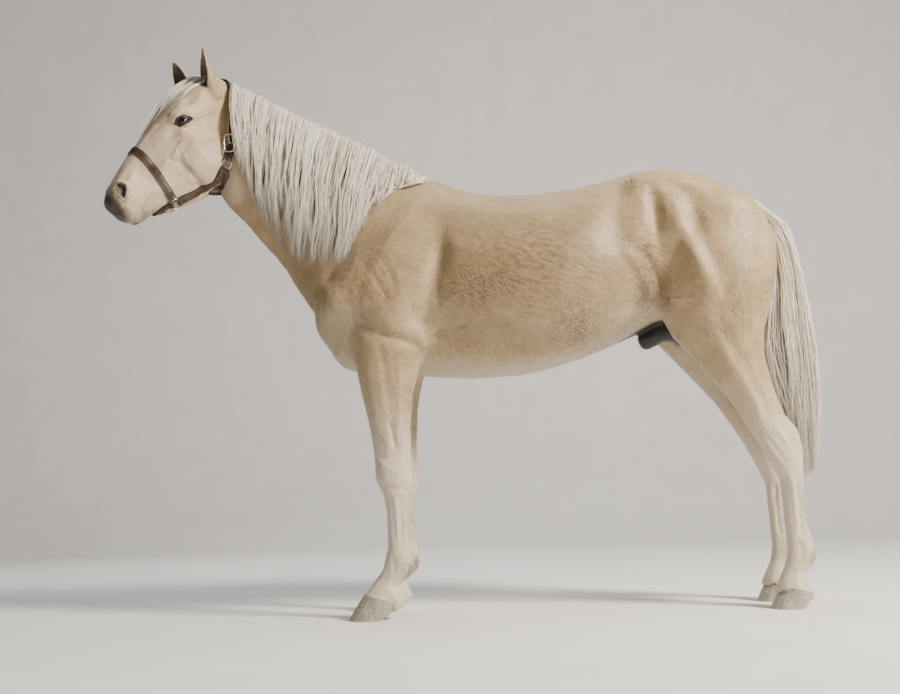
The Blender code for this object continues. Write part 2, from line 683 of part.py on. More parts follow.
def pad(name, rows, depths, group, slot):
    """A closed pad over a grid of skin points; each point carries its lift direction, each row its depth."""
    bm = bmesh.new()
    outer = []
    inner = []
    for row, depth in zip(rows, depths):
        outer.append([bm.verts.new(point + out * depth) for point, out in row])
        inner.append([bm.verts.new(point - out * SUNK) for point, out in row])
    high, wide = len(rows), len(rows[0])
    for i in range(high - 1):
        for j in range(wide - 1):
            bm.faces.new((outer[i][j], outer[i][j + 1], outer[i + 1][j + 1], outer[i + 1][j]))
            bm.faces.new((inner[i][j], inner[i + 1][j], inner[i + 1][j + 1], inner[i][j + 1]))
    rim = [(0, j) for j in range(wide)] + [(i, wide - 1) for i in range(1, high)]
    rim += [(high - 1, j) for j in range(wide - 2, -1, -1)] + [(i, 0) for i in range(high - 2, 0, -1)]
    for (i, j), (k, m) in zip(rim, rim[1:] + rim[:1]):
        bm.faces.new((outer[i][j], inner[i][j], inner[k][m], outer[k][m]))
    bmesh.ops.triangulate(bm, faces=bm.faces)
    return new_object(name, mesh_of(name, bm), group, slot)


MANE = {
    "front": -0.797,
    "back": -0.140,
    "columns": 18,
    "over_crest": 0.016,  # how far the roots reach past the crest
    "fall": ((-0.800, 1.680), (-0.775, 1.520), (-0.732, 1.430), (-0.683, 1.392),
             (-0.635, 1.352), (-0.578, 1.270), (-0.537, 1.200), (-0.489, 1.178), (-0.400, 1.182),
             (-0.345, 1.225), (-0.313, 1.320), (-0.274, 1.392), (-0.235, 1.436), (-0.180, 1.462),
             (-0.120, 1.490)),
    "ragged": 0.030,  # every other lock ends this much higher
    "shortest": 0.050,
    "shares": (0.0, 0.12, 0.34, 0.56, 0.78, 1.0),  # the rows between the crest and the ends
    "depths": (0.012, 0.020, 0.026, 0.032, 0.034, 0.032, 0.026, 0.016),  # two rows on the crest, then those
}


def crest_y(x):
    """The crest swings to the left with the head, from where the neck leaves the shoulders."""
    return -0.30 * max(0.0, -0.30 - x) ** 2


def along(points, x):
    """The height of a broken line at x."""
    return float(np.interp(x, [p[0] for p in points], [p[1] for p in points]))


def mane(skin, group):
    """The mane falls down the neck's left side, from just over the crest."""
    rows = [[] for _ in MANE["depths"]]
    for column in range(MANE["columns"]):
        x = MANE["front"] + (MANE["back"] - MANE["front"]) * column / (MANE["columns"] - 1)
        over = skin.seen_from((x, crest_y(x) + MANE["over_crest"], 2.5), (0, 0, -1))
        top = skin.seen_from((x, crest_y(x) - 0.004, 2.5), (0, 0, -1))
        low = min(along(MANE["fall"], x) + MANE["ragged"] * (column % 2), top.z - MANE["shortest"])
        points = [over, top]
        for share in MANE["shares"]:
            z = top.z - 0.012 + (low - top.z + 0.012) * share
            points.append(skin.seen_from((x, -1.0, z), (0, 1, 0)))
        for row, point in zip(rows, points):
            out = skin.normal(point)
            row.append((point, out))
    return pad("mane", rows, MANE["depths"], group, "hair")


FORELOCK = {
    "half_widths": ((0.012, 0.026), (0.080, 0.046), (0.190, 0.050), (0.260, 0.034), (0.375, 0.007)),
    "rows": 9,
    "depth": 0.018,
}


def forelock(skin, group):
    """The forelock lies down the forehead from between the ears."""
    first, last = FORELOCK["half_widths"][0][0], FORELOCK["half_widths"][-1][0]
    rows = []
    for i in range(FORELOCK["rows"]):
        t = first + (last - first) * i / (FORELOCK["rows"] - 1)
        half = along(FORELOCK["half_widths"], t)
        row = []
        for share in (-1, -0.5, 0, 0.5, 1):
            point = skin.seen_from(face_point(t, 0.3, share * half), -FACE_OUT)
            row.append((point, skin.normal(point) * (1 - 0.7 * share**2)))
        rows.append(row)
    depths = [FORELOCK["depth"]] * FORELOCK["rows"]
    depths[0] = depths[-1] = FORELOCK["depth"] * 0.6
    return pad("forelock", rows, depths, group, "hair")


def tail(group):
    """The fall of hair from the dock, drifting to the left over the hock."""
    rows = [
        ((1.005, 1.442), (1.000, 1.385), 0.026, 0.000),
        ((1.062, 1.408), (1.040, 1.345), 0.036, 0.000),
        ((1.118, 1.352), (1.085, 1.290), 0.045, 0.000),
        ((1.150, 1.315), (1.092, 1.262), 0.050, -0.003),
        ((1.168, 1.270), (1.098, 1.230), 0.054, -0.006),
        ((1.196, 1.150), (1.096, 1.130), 0.063, -0.016),
        ((1.217, 1.000), (1.078, 1.000), 0.070, -0.030),
        ((1.229, 0.860), (1.068, 0.860), 0.073, -0.046),
        ((1.218, 0.720), (1.084, 0.720), 0.070, -0.060),
        ((1.200, 0.600), (1.104, 0.600), 0.060, -0.072),
        ((1.188, 0.500), (1.128, 0.500), 0.040, -0.078),
        ((1.176, 0.425), (1.152, 0.425), 0.014, -0.080),
    ]
    stations = [side_section(outer, inner, wide, y) for outer, inner, wide, y in rows]
    return loft("tail", stations, group, sides=12, steps=1)


def sheath(group):
    """The dark fold of skin under the flank, pointing forward and down."""
    stations = [
        side_section((0.825, 1.085), (0.840, 1.045), 0.022),
        side_section((0.765, 1.045), (0.785, 0.968), 0.040),
        side_section((0.705, 0.998), (0.726, 0.918), 0.048),
        side_section((0.660, 0.968), (0.684, 0.896), 0.046),
        side_section((0.628, 0.944), (0.652, 0.882), 0.034),
        side_section((0.614, 0.926), (0.632, 0.886), 0.018),
    ]
    return loft("sheath", stations, group, sides=12, steps=1)


# ---------------------------------------------------------------- halter
NOSE_RING = (0.466, -0.202, 0.060)
JAW_RING = (0.232, -0.232, 0.075)
RING_RADIUS = 0.0165
RING_WIRE = 0.003
RING_SIDES = 12
WIRE_SIDES = 4
BUCKLE = (0.040, 0.066)  # across and along the crown strap
BUCKLE_PLACE = (0.180, -0.198, 0.10)


def smooth_path(points, steps):
    """Points along a curve through the given ones."""
    points = [Vector(p) for p in points]
    padded = [points[0] * 2 - points[1], *points, points[-1] * 2 - points[-2]]
    found = []
    for i in range(1, len(padded) - 2):
        for j in range(steps):
            found.append(spline(*padded[i - 1 : i + 3], j / steps))
    return [*found, points[-1]]


def strap(name, points, width, skin, group):
    """A flat strap that hugs the skin under the given points."""
    path = [skin.place(p) for p in smooth_path(points, 3)]
    bm = bmesh.new()
    rings = []
    for i, middle in enumerate(path):
        ahead = path[min(i + 1, len(path) - 1)] - path[max(i - 1, 0)]
        out = skin.normal(middle)
        across = ahead.cross(out).normalized() * width / 2
        edges = [skin.place(middle + across * share) for share in (1, 0, -1)]
        section = [edge + out * (STRAP + CLEAR) for edge in edges]
        section += [edge + out * CLEAR for edge in reversed(edges)]
        rings.append([bm.verts.new(p) for p in section])
    count = len(rings[0])
    for a, b in zip(rings, rings[1:]):
        for i in range(count):
            bm.faces.new((a[i], a[(i + 1) % count], b[(i + 1) % count], b[i]))
    bm.faces.new(rings[0][::-1])
    bm.faces.new(rings[-1])
    bmesh.ops.triangulate(bm, faces=bm.faces)
    return new_object(name, mesh_of(name, bm), group, "leather")


def ring(name, middle, normal, reaches, group):
    """A wire ring or link that lies flat on the skin; reaches are its half sizes across and upwards."""
    bm = bmesh.new()
    across = Vector((0, 0, 1)).cross(normal).normalized()
    turn = Matrix((across, normal.cross(across), normal)).transposed()
    rings = []
    for i in range(RING_SIDES):
        angle = 2 * math.pi * i / RING_SIDES
        spoke = Vector((math.cos(angle), math.sin(angle), 0))
        points = []
        for j in range(WIRE_SIDES):
            around = 2 * math.pi * j / WIRE_SIDES
            wide, high = (reach + RING_WIRE * math.cos(around) for reach in reaches)
            local = Vector((spoke.x * wide, spoke.y * high, RING_WIRE * math.sin(around)))
            points.append(turn @ local + middle)
        rings.append([bm.verts.new(p) for p in points])
    for i, a in enumerate(rings):
        b = rings[(i + 1) % len(rings)]
        for j in range(WIRE_SIDES):
            bm.faces.new((a[j], a[(j + 1) % WIRE_SIDES], b[(j + 1) % WIRE_SIDES], b[j]))
    return new_object(name, mesh_of(name, bm), group, "metal")


def toward(start, end, distance):
    """The point this far from start on the way to end."""
    start, end = Vector(start), Vector(end)
    return start + (end - start).normalized() * distance


def halter(skin, group):
    """A stable halter of flat straps joined by rings, lying on the head."""
    made = []
    clear = RING_RADIUS + RING_WIRE + CLEAR
    sides = ((-1, "left"), (1, "right"))
    nose = {}
    jaw = {}
    cheeks = []
    for side, word in sides:
        for kind, place, found in (("nose", NOSE_RING, nose), ("jaw", JAW_RING, jaw)):
            spot = skin.place(face_point(place[0], place[1], -side * place[2]))
            found[side] = spot
            normal = skin.normal(spot)
            middle = spot + normal * (RING_WIRE + 2 * CLEAR)
            made.append(ring(f"halter_{kind}_ring_{word}", middle, normal, (RING_RADIUS,) * 2, group))
        bend = skin.place(face_point(0.350, -0.240, -side * 0.07))
        points = [toward(nose[side], bend, clear), bend, toward(jaw[side], bend, clear)]
        made.append(strap(f"halter_cheek_strap_{word}", points, 0.030, skin, group))
        cheeks.append(made[-1])

    def run(name, start, middle, end, width):
        """A strap from ring to ring over the given face points, stopping clear of the rings."""
        between = [skin.place(face_point(*p)) for p in middle]
        points = [toward(start, between[0], clear), *between, toward(end, between[-1], clear)]
        made.append(strap(name, points, width, skin, group))

    over_nose = ((0.440, -0.110, 0.08), (0.418, -0.020, 0.06), (0.407, 0.060, 0.0))
    run("halter_noseband", nose[-1], mirrored(over_nose), nose[1], 0.027)
    under_chin = ((0.505, -0.196, 0.050), (0.540, -0.185, 0.0))
    run("halter_chin_strap", nose[-1], mirrored(under_chin), nose[1], 0.020)
    under_throat = ((0.262, -0.264, 0.055), (0.310, -0.284, 0.0))
    run("halter_throat_strap", jaw[-1], mirrored(under_throat), jaw[1], 0.016)
    for cheek in cheeks:
        make_room([made[-1]], cheek, group)
    over_poll = ((0.155, -0.198, 0.09), (0.083, -0.140, 0.10), (0.003, -0.096, 0.08), (-0.050, -0.036, 0.0))
    run("halter_crown_strap", jaw[-1], mirrored(over_poll), jaw[1], 0.025)
    spot = skin.place(face_point(*BUCKLE_PLACE))
    normal = skin.normal(spot)
    middle = spot + normal * (RING_WIRE + STRAP + 2 * CLEAR)
    reaches = [size / 2 - RING_WIRE for size in BUCKLE]
    made.append(ring("halter_buckle", middle, normal, reaches, group))
    return made


def mirrored(points):
    """The points from the left to the middle, then back out on the right."""
    return [*points, *((t, n, -left) for t, n, left in reversed(points[:-1]))]


# ---------------------------------------------------------------- the whole
def shade(thing):
    thing.data.shade_smooth()
    thing.data.set_sharp_from_angle(angle=math.radians(50))


def make_room(things, other, group, gap=FIT):
    """Cuts the other piece, with a gap round it, out of the things."""
    wider = grown(other, gap, group)
    for thing in things:
        boolean(thing, wider, "DIFFERENCE")
    discard(wider)


def stand_on_origin(things):
    """Moves everything together so that the origin is on the floor under the middle of the whole."""
    corners = np.array([[corner[:] for corner in thing.bound_box] for thing in things]).reshape(-1, 3)
    low, high = corners.min(axis=0), corners.max(axis=0)
    step = Matrix.Translation((-(low[0] + high[0]) / 2, -(low[1] + high[1]) / 2, -low[2]))
    for thing in things:
        thing.data.transform(step)


def main():
    clear_scene()
    horse = new_collection("horse")
    body = thinned_body(horse)
    body.name = "trunk"
    body.data.materials.append(material("coat"))
    skin = Skin(body)
    hooves = []
    eyes = []
    ears = []
    for side, word in ((-1, "left"), (1, "right")):
        for leg, stagger in (("fore", FORE_STAGGER), ("hind", HIND_STAGGER)):
            hooves.append(hoof(leg, side, stagger * (side > 0), f"hoof_{leg}_{word}", horse))
        eyes.append(eye(side, word, horse))
        ears.append(ear(side, word, horse))
    for thing in hooves:
        make_room([body], thing, horse, HOOF_GAP)
    for thing in eyes:
        make_room([body], thing, horse)
    worn = halter(skin, horse)
    hair = [mane(skin, horse), forelock(skin, horse), tail(horse)]
    fold = sheath(horse)
    fold.data.materials.append(material("dark_skin"))
    hair[2].data.materials.append(material("hair"))
    make_room(hair, body, horse)
    for thing in (*ears, *worn):
        make_room(hair[:2], thing, horse, CLEAR / 2)
    make_room([*worn, *ears, fold], body, horse)
    pieces = [split_off(body, "head", head_region(horse), "coat", horse)]
    pieces.append(split_off(body, "neck", neck_region(horse), "coat", horse))
    for name, region in list(leg_regions(horse)):
        pieces.append(split_off(body, name, region, "coat", horse))
    everything = (body, *pieces, *hooves, *eyes, *ears, *hair, *worn, fold)
    for thing in everything:
        drop_crumbs(thing)
    stand_on_origin(everything)
    for thing in everything:
        shade(thing)


main()
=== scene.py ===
# A still, life-size stallion in its halter: skin, coat, mane, tail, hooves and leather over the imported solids.
import json
import math

import bmesh
import bpy
import numpy as np
from mathutils import Matrix, Vector
from mathutils.bvhtree import BVHTree

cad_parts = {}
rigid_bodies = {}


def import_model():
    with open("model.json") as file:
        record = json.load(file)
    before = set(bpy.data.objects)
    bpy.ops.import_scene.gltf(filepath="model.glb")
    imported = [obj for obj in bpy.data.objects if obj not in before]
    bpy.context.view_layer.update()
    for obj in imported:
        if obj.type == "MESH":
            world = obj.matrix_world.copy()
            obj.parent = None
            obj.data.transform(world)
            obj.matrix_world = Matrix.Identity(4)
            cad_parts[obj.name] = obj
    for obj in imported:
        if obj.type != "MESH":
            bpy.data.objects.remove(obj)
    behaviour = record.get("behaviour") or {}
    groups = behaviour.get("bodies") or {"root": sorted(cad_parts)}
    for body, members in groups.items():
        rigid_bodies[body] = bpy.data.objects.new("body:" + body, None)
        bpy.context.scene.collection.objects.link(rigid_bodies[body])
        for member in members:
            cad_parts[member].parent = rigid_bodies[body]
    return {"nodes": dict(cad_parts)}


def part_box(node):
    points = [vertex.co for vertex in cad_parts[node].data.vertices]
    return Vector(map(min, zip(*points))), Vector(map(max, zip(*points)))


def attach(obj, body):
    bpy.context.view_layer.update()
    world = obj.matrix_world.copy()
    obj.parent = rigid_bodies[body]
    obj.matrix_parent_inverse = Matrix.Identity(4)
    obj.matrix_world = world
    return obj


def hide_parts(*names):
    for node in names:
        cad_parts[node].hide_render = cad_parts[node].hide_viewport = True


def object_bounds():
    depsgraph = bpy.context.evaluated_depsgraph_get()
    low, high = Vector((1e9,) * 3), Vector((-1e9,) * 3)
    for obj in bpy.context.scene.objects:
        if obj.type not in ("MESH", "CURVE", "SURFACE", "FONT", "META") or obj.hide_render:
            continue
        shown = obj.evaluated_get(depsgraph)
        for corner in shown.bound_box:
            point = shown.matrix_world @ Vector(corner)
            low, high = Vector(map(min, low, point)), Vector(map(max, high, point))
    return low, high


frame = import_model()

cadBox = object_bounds()
nodes = frame["nodes"]

# where things are: the body's own axes, and the head's
headPose = {
    "yaw": math.radians(34.0),  # how far the head is turned to the animal's left
    "slope": math.radians(52.0),  # the face below the horizontal
    "poll": np.array((-0.868, -0.085, 1.885)),
    "eye": (0.234, -0.027, 0.0835),  # down the face, out of it and to the side
}


def facePoint(t, n, left=0.0):  # t down the face from the poll, n out of it, left to the animal's left
    c, k = math.cos(headPose["slope"]), math.sin(headPose["slope"])
    s, z = -c * t - k * n, -k * t + c * n
    cy, ky = math.cos(headPose["yaw"]), math.sin(headPose["yaw"])
    return headPose["poll"] + np.array((s * cy + left * ky, s * ky - left * cy, z))


def faceCoords(points):
    c, k = math.cos(headPose["slope"]), math.sin(headPose["slope"])
    cy, ky = math.cos(headPose["yaw"]), math.sin(headPose["yaw"])
    dx, dy, dz = (points - headPose["poll"]).T
    s, left = dx * cy + dy * ky, dx * ky - dy * cy
    return np.stack((-c * s - k * dz, -k * s + c * dz, left), axis=1)


eyeCentres = {word: (np.array(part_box(f"eye_{word}")[0]) + np.array(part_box(f"eye_{word}")[1])) / 2
              for word in ("left", "right")}
origin = eyeCentres["left"] - facePoint(*headPose["eye"])  # from the body's own axes to the frame's
headPose["poll"] = headPose["poll"] + origin
faceDown = facePoint(1, 0) - facePoint(0, 0)
faceOut = facePoint(0, 1) - facePoint(0, 0)
faceLeft = facePoint(0, 0, 1) - facePoint(0, 0)


def bodyPoint(x, y, z):
    return origin + np.array((x, y, z))


def ramp(value, low, high):  # 0 below low, 1 above high, smooth between
    share = np.clip((value - low) / (high - low), 0, 1)
    return share * share * (3 - 2 * share)


def unit(vectors):
    return vectors / (np.linalg.norm(vectors, axis=-1, keepdims=True) + 1e-12)


def withinBox(points, margin, soft=0.0015):  # eases whatever would pass the solids' own box back inside it
    low, high = np.array(cadBox[0]) + margin, np.array(cadBox[1]) - margin
    eased = [(gap + np.sqrt(gap**2 + 4 * soft**2)) / 2 for gap in (points - low, high - points)]
    return np.where(points - low < high - points, low + eased[0], high - eased[1])


boxMargin = {"skin": 0.0025, "hair": 0.002, "tufts": 0.0002, "tail": 0.004}  # for withinBox, and for the tail's sheet


# materials
def linear(hexColour):
    values = [int(hexColour[i:i + 2], 16) / 255 for i in (1, 3, 5)]
    return tuple(v / 12.92 if v <= 0.04045 else ((v + 0.055) / 1.055) ** 2.4 for v in values) + (1.0,)


def addNode(tree, kind, settings=None, links=None):
    made = tree.nodes.new(kind)
    for name, value in (settings or {}).items():
        if name in made.inputs:
            made.inputs[name].default_value = value
        else:
            setattr(made, name, value)
    for name, source in (links or {}).items():
        tree.links.new(source, made.inputs[name])
    return made


def newMaterial(name, values):
    made = bpy.data.materials.new(name)
    made.use_nodes = True
    shader = made.node_tree.nodes["Principled BSDF"]
    for socket, value in values.items():
        shader.inputs[socket].default_value = value
    return made, made.node_tree, shader


def channelsOf(tree, attribute):  # the three numbers that setColour gave each point
    marks = addNode(tree, "ShaderNodeAttribute", {"attribute_name": attribute})
    return addNode(tree, "ShaderNodeSeparateColor", None, {"Color": marks.outputs["Color"]}).outputs


def objectPlace(tree):
    return addNode(tree, "ShaderNodeTexCoord").outputs["Object"]


def fill(tree, socket, value):  # from a node, or with a number or a colour such as "#bda47b"
    if isinstance(value, bpy.types.NodeSocket):
        tree.links.new(value, socket)
    else:
        socket.default_value = linear(value) if isinstance(value, str) else value


def mixColours(tree, share, first, second, blend="MIX"):
    made = addNode(tree, "ShaderNodeMix", {"data_type": "RGBA", "blend_type": blend})
    for index, value in ((0, share), (6, first), (7, second)):
        fill(tree, made.inputs[index], value)
    return made.outputs[2]


def noiseOn(tree, vector, scale, stretch=(1, 1, 1), turn=(0, 0, 0), detail=3.0, roughness=0.55):
    # stretch lengthens the pattern along each of the turned axes
    placed = addNode(tree, "ShaderNodeMapping", {"vector_type": "TEXTURE", "Rotation": turn, "Scale": stretch},
                     {"Vector": vector})
    return addNode(tree, "ShaderNodeTexNoise", {"Scale": scale, "Detail": detail, "Roughness": roughness},
                   {"Vector": placed.outputs[0]}).outputs["Fac"]


def remap(tree, value, fromLow, fromHigh, toLow=0.0, toHigh=1.0):
    made = addNode(tree, "ShaderNodeMapRange", {"From Min": fromLow, "From Max": fromHigh, "To Min": toLow,
                                                "To Max": toHigh}, {"Value": value})
    return made.outputs["Result"]


def mathOn(tree, operation, first, second):
    made = addNode(tree, "ShaderNodeMath", {"operation": operation})
    for socket, value in zip(made.inputs, (first, second)):
        fill(tree, socket, value)
    return made.outputs[0]


def bumpOn(tree, shader, height, strength, distance):
    bump = addNode(tree, "ShaderNodeBump", {"Strength": strength, "Distance": distance}, {"Height": height})
    tree.links.new(bump.outputs[0], shader.inputs["Normal"])


coatColours = {
    "gold": "#bda47b",
    "goldDeep": "#8e7754",
    "cream": "#d9cdb6",
    "darkSkinAndShade": "#3f3833",
    "black": "#1c1816",
    "hairPale": "#f7f1e4",
    "hairShade": "#ddd0b6",
    "hairInShade": "#94866f",
}


def coatMaterial():
    # Short summer coat: fine lying hairs give streaks a millimetre wide, drawn into small damp-looking clumps on
    # the barrel, with a soft sheen over pigmented skin.
    made, tree, shader = newMaterial("short_palomino_coat", {
        "Roughness": 0.50, "Sheen Weight": 0.20, "Sheen Roughness": 0.40, "Specular IOR Level": 0.42})
    place = objectPlace(tree)
    pale, dark, upright = channelsOf(tree, "markings")
    steep, clumped, gold = channelsOf(tree, "lie")
    lying = noiseOn(tree, place, 360, (10, 1, 1), (0, math.radians(20), 0), 2.0)
    sloping = noiseOn(tree, place, 360, (10, 1, 1), (0, math.radians(58), 0), 2.0)
    hanging = noiseOn(tree, place, 360, (1, 1, 10), (0, 0, 0), 2.0)
    strands = mixColours(tree, upright, mixColours(tree, steep, lying, sloping), hanging)
    clumps = mixColours(tree, steep, noiseOn(tree, place, 90, (3.4, 1, 1), (0, math.radians(24), 0), 5.0, 0.65),
                        noiseOn(tree, place, 90, (3.4, 1, 1), (0, math.radians(58), 0), 5.0, 0.65))
    patches = noiseOn(tree, place, 9, detail=6.0, roughness=0.6)
    base = mixColours(tree, remap(tree, patches, 0.30, 0.70, 0.25, 1.0), coatColours["goldDeep"],
                      coatColours["gold"])
    # deeper gold over the barrel, the chest front and the flank: partly the coat's tone, partly painted shade
    base = mixColours(tree, mathOn(tree, "MULTIPLY", gold, 0.55), base, coatColours["goldDeep"])
    base = mixColours(tree, pale, base, coatColours["cream"])
    base = mixColours(tree, remap(tree, strands, 0.3, 0.7, 0.0, 0.26), base, coatColours["goldDeep"], "MULTIPLY")
    inClumps = mathOn(tree, "MULTIPLY", remap(tree, clumps, 0.42, 0.66), mathOn(tree, "MULTIPLY", clumped, 0.75))
    base = mixColours(tree, inClumps, base, coatColours["goldDeep"], "MULTIPLY")
    # the dark channel: dark skin, and painted shade in the groin and on the muzzle's front
    mottle = remap(tree, noiseOn(tree, place, 75, detail=5.0, roughness=0.6), 0.40, 0.62)
    firm = remap(tree, dark, 0.45, 0.9)
    broken = mathOn(tree, "MULTIPLY", dark, mixColours(tree, firm, mottle, (1, 1, 1, 1)))
    base = mixColours(tree, broken, base, coatColours["darkSkinAndShade"])
    base = mixColours(tree, remap(tree, dark, 0.80, 1.0), base, coatColours["black"])
    tree.links.new(base, shader.inputs["Base Color"])
    height = mathOn(tree, "ADD", mathOn(tree, "MULTIPLY", strands, 0.45),
                    mathOn(tree, "MULTIPLY", clumps, mathOn(tree, "ADD", mathOn(tree, "MULTIPLY", clumped, 2.2), 0.5)))
    bumpOn(tree, shader, height, 0.5, 0.0016)
    return made


def tuftMaterial():
    # The same coat on single tufts, which catch a little more light than the skin under them.
    made, tree, shader = newMaterial("coat_tufts", {"Roughness": 0.5, "Sheen Weight": 0.25, "Sheen Roughness": 0.4,
                                                    "Specular IOR Level": 0.35})
    pale, dark, tone = channelsOf(tree, "markings")
    base = mixColours(tree, tone, coatColours["goldDeep"], coatColours["gold"])
    base = mixColours(tree, pale, base, coatColours["cream"])
    # dark skin, and painted shade where the dark channel carries it
    base = mixColours(tree, dark, base, coatColours["darkSkinAndShade"])
    tree.links.new(base, shader.inputs["Base Color"])
    return made


def hairMaterial():
    # Long mane hair: smooth keratin with a low even gloss, with painted shade on the strands that lie deep between
    # locks.
    made, tree, shader = newMaterial("mane_hair", {"Roughness": 0.42, "Sheen Weight": 0.2, "Sheen Roughness": 0.5,
                                                   "Specular IOR Level": 0.45})
    tone, along, depth = channelsOf(tree, "markings")
    base = mixColours(tree, tone, coatColours["hairShade"], coatColours["hairPale"])
    # painted shade: the third channel darkens strands that lie deep in the hair
    base = mixColours(tree, depth, base, coatColours["hairInShade"], "MULTIPLY")
    place = objectPlace(tree)
    streaks = noiseOn(tree, place, 90, (1, 1, 14))
    base = mixColours(tree, remap(tree, streaks, 0.35, 0.65, 0.0, 0.14), base, coatColours["hairShade"], "MULTIPLY")
    tree.links.new(base, shader.inputs["Base Color"])
    return made


# mesh makers
def linked(name, data):
    made = bpy.data.objects.new(name, data)
    bpy.context.scene.collection.objects.link(made)
    return made


def meshObject(name, points, faces, material=None):
    mesh = bpy.data.meshes.new(name)
    mesh.from_pydata([tuple(p) for p in points], [], [tuple(f) for f in faces])
    mesh.validate()
    if material:
        mesh.materials.append(material)
    mesh.shade_smooth()
    return linked(name, mesh)


def quickMesh(name, points, faces, material):  # faces all of one size, as an array
    mesh = bpy.data.meshes.new(name)
    sides = faces.shape[1]
    mesh.vertices.add(len(points))
    mesh.vertices.foreach_set("co", np.asarray(points, np.float32).ravel())
    mesh.loops.add(faces.size)
    mesh.loops.foreach_set("vertex_index", faces.astype(np.int32).ravel())
    mesh.polygons.add(len(faces))
    mesh.polygons.foreach_set("loop_start", np.arange(0, faces.size, sides, dtype=np.int32))
    mesh.update(calc_edges=True)
    mesh.materials.append(material)
    mesh.shade_smooth()
    return linked(name, mesh)


def pointsOf(mesh):
    found = np.empty(len(mesh.vertices) * 3, np.float32)
    mesh.vertices.foreach_get("co", found)
    return found.reshape(-1, 3).astype(np.float64)


def normalsOf(mesh):
    found = np.empty(len(mesh.vertices) * 3, np.float32)
    mesh.vertex_normals.foreach_get("vector", found)
    return found.reshape(-1, 3).astype(np.float64)


def setPoints(mesh, points):
    mesh.vertices.foreach_set("co", points.astype(np.float32).ravel())
    mesh.update()


def setColour(mesh, name, values):  # three numbers for each point
    layer = mesh.color_attributes.new(name, "FLOAT_COLOR", "POINT")
    full = np.ones((len(values), 4), np.float32)
    full[:, :3] = values
    layer.data.foreach_set("color", full.ravel())


def applied(thing):
    graph = bpy.context.evaluated_depsgraph_get()
    mesh = bpy.data.meshes.new_from_object(thing.evaluated_get(graph))
    thing.modifiers.clear()
    old = thing.data
    thing.data = mesh
    bpy.data.meshes.remove(old)
    bpy.context.view_layer.update()
    return thing


def remeshed(thing, size):
    step = thing.modifiers.new("remesh", "REMESH")
    step.mode = "VOXEL"
    step.voxel_size = size
    step.adaptivity = 0
    bpy.context.view_layer.update()
    return applied(thing)


def trianglesOf(mesh):
    mesh.calc_loop_triangles()
    found = np.empty(len(mesh.loop_triangles) * 3, np.int32)
    mesh.loop_triangles.foreach_get("vertices", found)
    return found.reshape(-1, 3)


def turnOut(mesh, merge=0.0, cutCaps=False):
    work = bmesh.new()
    work.from_mesh(mesh)
    if merge:
        bmesh.ops.remove_doubles(work, verts=work.verts, dist=merge)
    if cutCaps:
        bmesh.ops.triangulate(work, faces=[f for f in work.faces if len(f.verts) > 4])
    bmesh.ops.recalc_face_normals(work, faces=work.faces)
    work.to_mesh(mesh)
    work.free()


def tubeFaces(rings, sides, joined=False, turned=False):  # between rings of points, the last joined to the first or not
    faces = []
    for i in range(rings if joined else rings - 1):
        for j in range(sides):
            a, b, k = i * sides, (i + 1) % rings * sides, (j + 1) % sides
            faces.append((a + j, a + k, b + k, b + j) if turned else (a + j, b + j, b + k, a + k))
    return faces


def edgesOf(mesh):
    found = np.empty(len(mesh.edges) * 2, np.int32)
    mesh.edges.foreach_get("vertices", found)
    return found.reshape(-1, 2)


def evened(points, edges, rounds, amount, back=-0.53):
    # each pass in is followed by one out, so that it keeps its size
    a, b = edges.T
    count = len(points)
    degree = np.bincount(a, minlength=count) + np.bincount(b, minlength=count)
    for i in range(2 * rounds):
        step = (0.5 if i % 2 == 0 else back) * amount
        total = np.stack([np.bincount(a, points[b, axis], count) + np.bincount(b, points[a, axis], count)
                          for axis in range(3)], axis=1)
        points = points + (total / degree[:, None] - points) * np.reshape(step, (-1, 1))
    return points


def evenedNear(points, edges, chosen, rounds, back):  # the same for the chosen points alone
    index = np.flatnonzero(chosen)
    place = np.full(len(points), -1)
    place[index] = np.arange(len(index))
    inner = edges[chosen[edges].all(axis=1)]
    smoothed = evened(points[index], place[inner], rounds, np.full(len(index), 0.8), back)
    edge = np.unique(edges[chosen[edges].sum(axis=1) == 1])
    held = np.zeros(len(points), bool)
    held[edge] = True
    share = np.where(held[index], 0.0, 1.0)[:, None]
    points = points.copy()
    points[index] = points[index] * (1 - share) + smoothed * share
    return points


def runAlong(path):
    return np.concatenate(([0], np.cumsum(np.linalg.norm(np.diff(path, axis=0), axis=1))))


def catmull(values, steps):  # rows of numbers, with steps new rows for each old one
    values = np.asarray(values, float)
    padded = np.concatenate((2 * values[:1] - values[1:2], values, 2 * values[-1:] - values[-2:-1]))
    found = []
    for i in range(1, len(padded) - 2):
        p0, p1, p2, p3 = padded[i - 1:i + 3]
        for t in np.arange(steps) / steps:
            found.append(0.5 * (2 * p1 + (p2 - p0) * t + (2 * p0 - 5 * p1 + 4 * p2 - p3) * t**2
                                + (3 * p1 - p0 - 3 * p2 + p3) * t**3))
    return np.array([*found, values[-1]])


# ears: cups with thick walls, grown out of the skin
earForm = {
    "root": {"left": (0.006, 1.818, 0.060), "right": (-0.018, 1.822, 0.068)},  # back, up and out from the poll
    "tip": {"left": (-0.061, 1.956, 0.098), "right": (-0.091, 1.966, 0.106)},
    "width": 0.0335,
    "forward": 0.45,
    "turnIn": {"left": -2.0, "right": 20.0},
    "along": (-0.12, 0.02, 0.12, 0.25, 0.42, 0.58, 0.72, 0.84, 0.93, 1.0),
    "radius": (1.05, 1.0, 1.03, 1.07, 1.04, 0.92, 0.72, 0.50, 0.31, 0.14),
    "wrap": (175, 165, 150, 130, 114, 106, 100, 96, 92, 88),  # degrees from the cup's back to its edges
    "inner": (0.30, 0.42, 0.58, 0.72, 0.79, 0.81, 0.80, 0.74, 0.58, 0.30),
}


def headUpright(s, z, left):
    cy, ky = math.cos(headPose["yaw"]), math.sin(headPose["yaw"])
    base = headPose["poll"]
    return np.array((base[0] + s * cy + left * ky, base[1] + s * ky - left * cy, z))


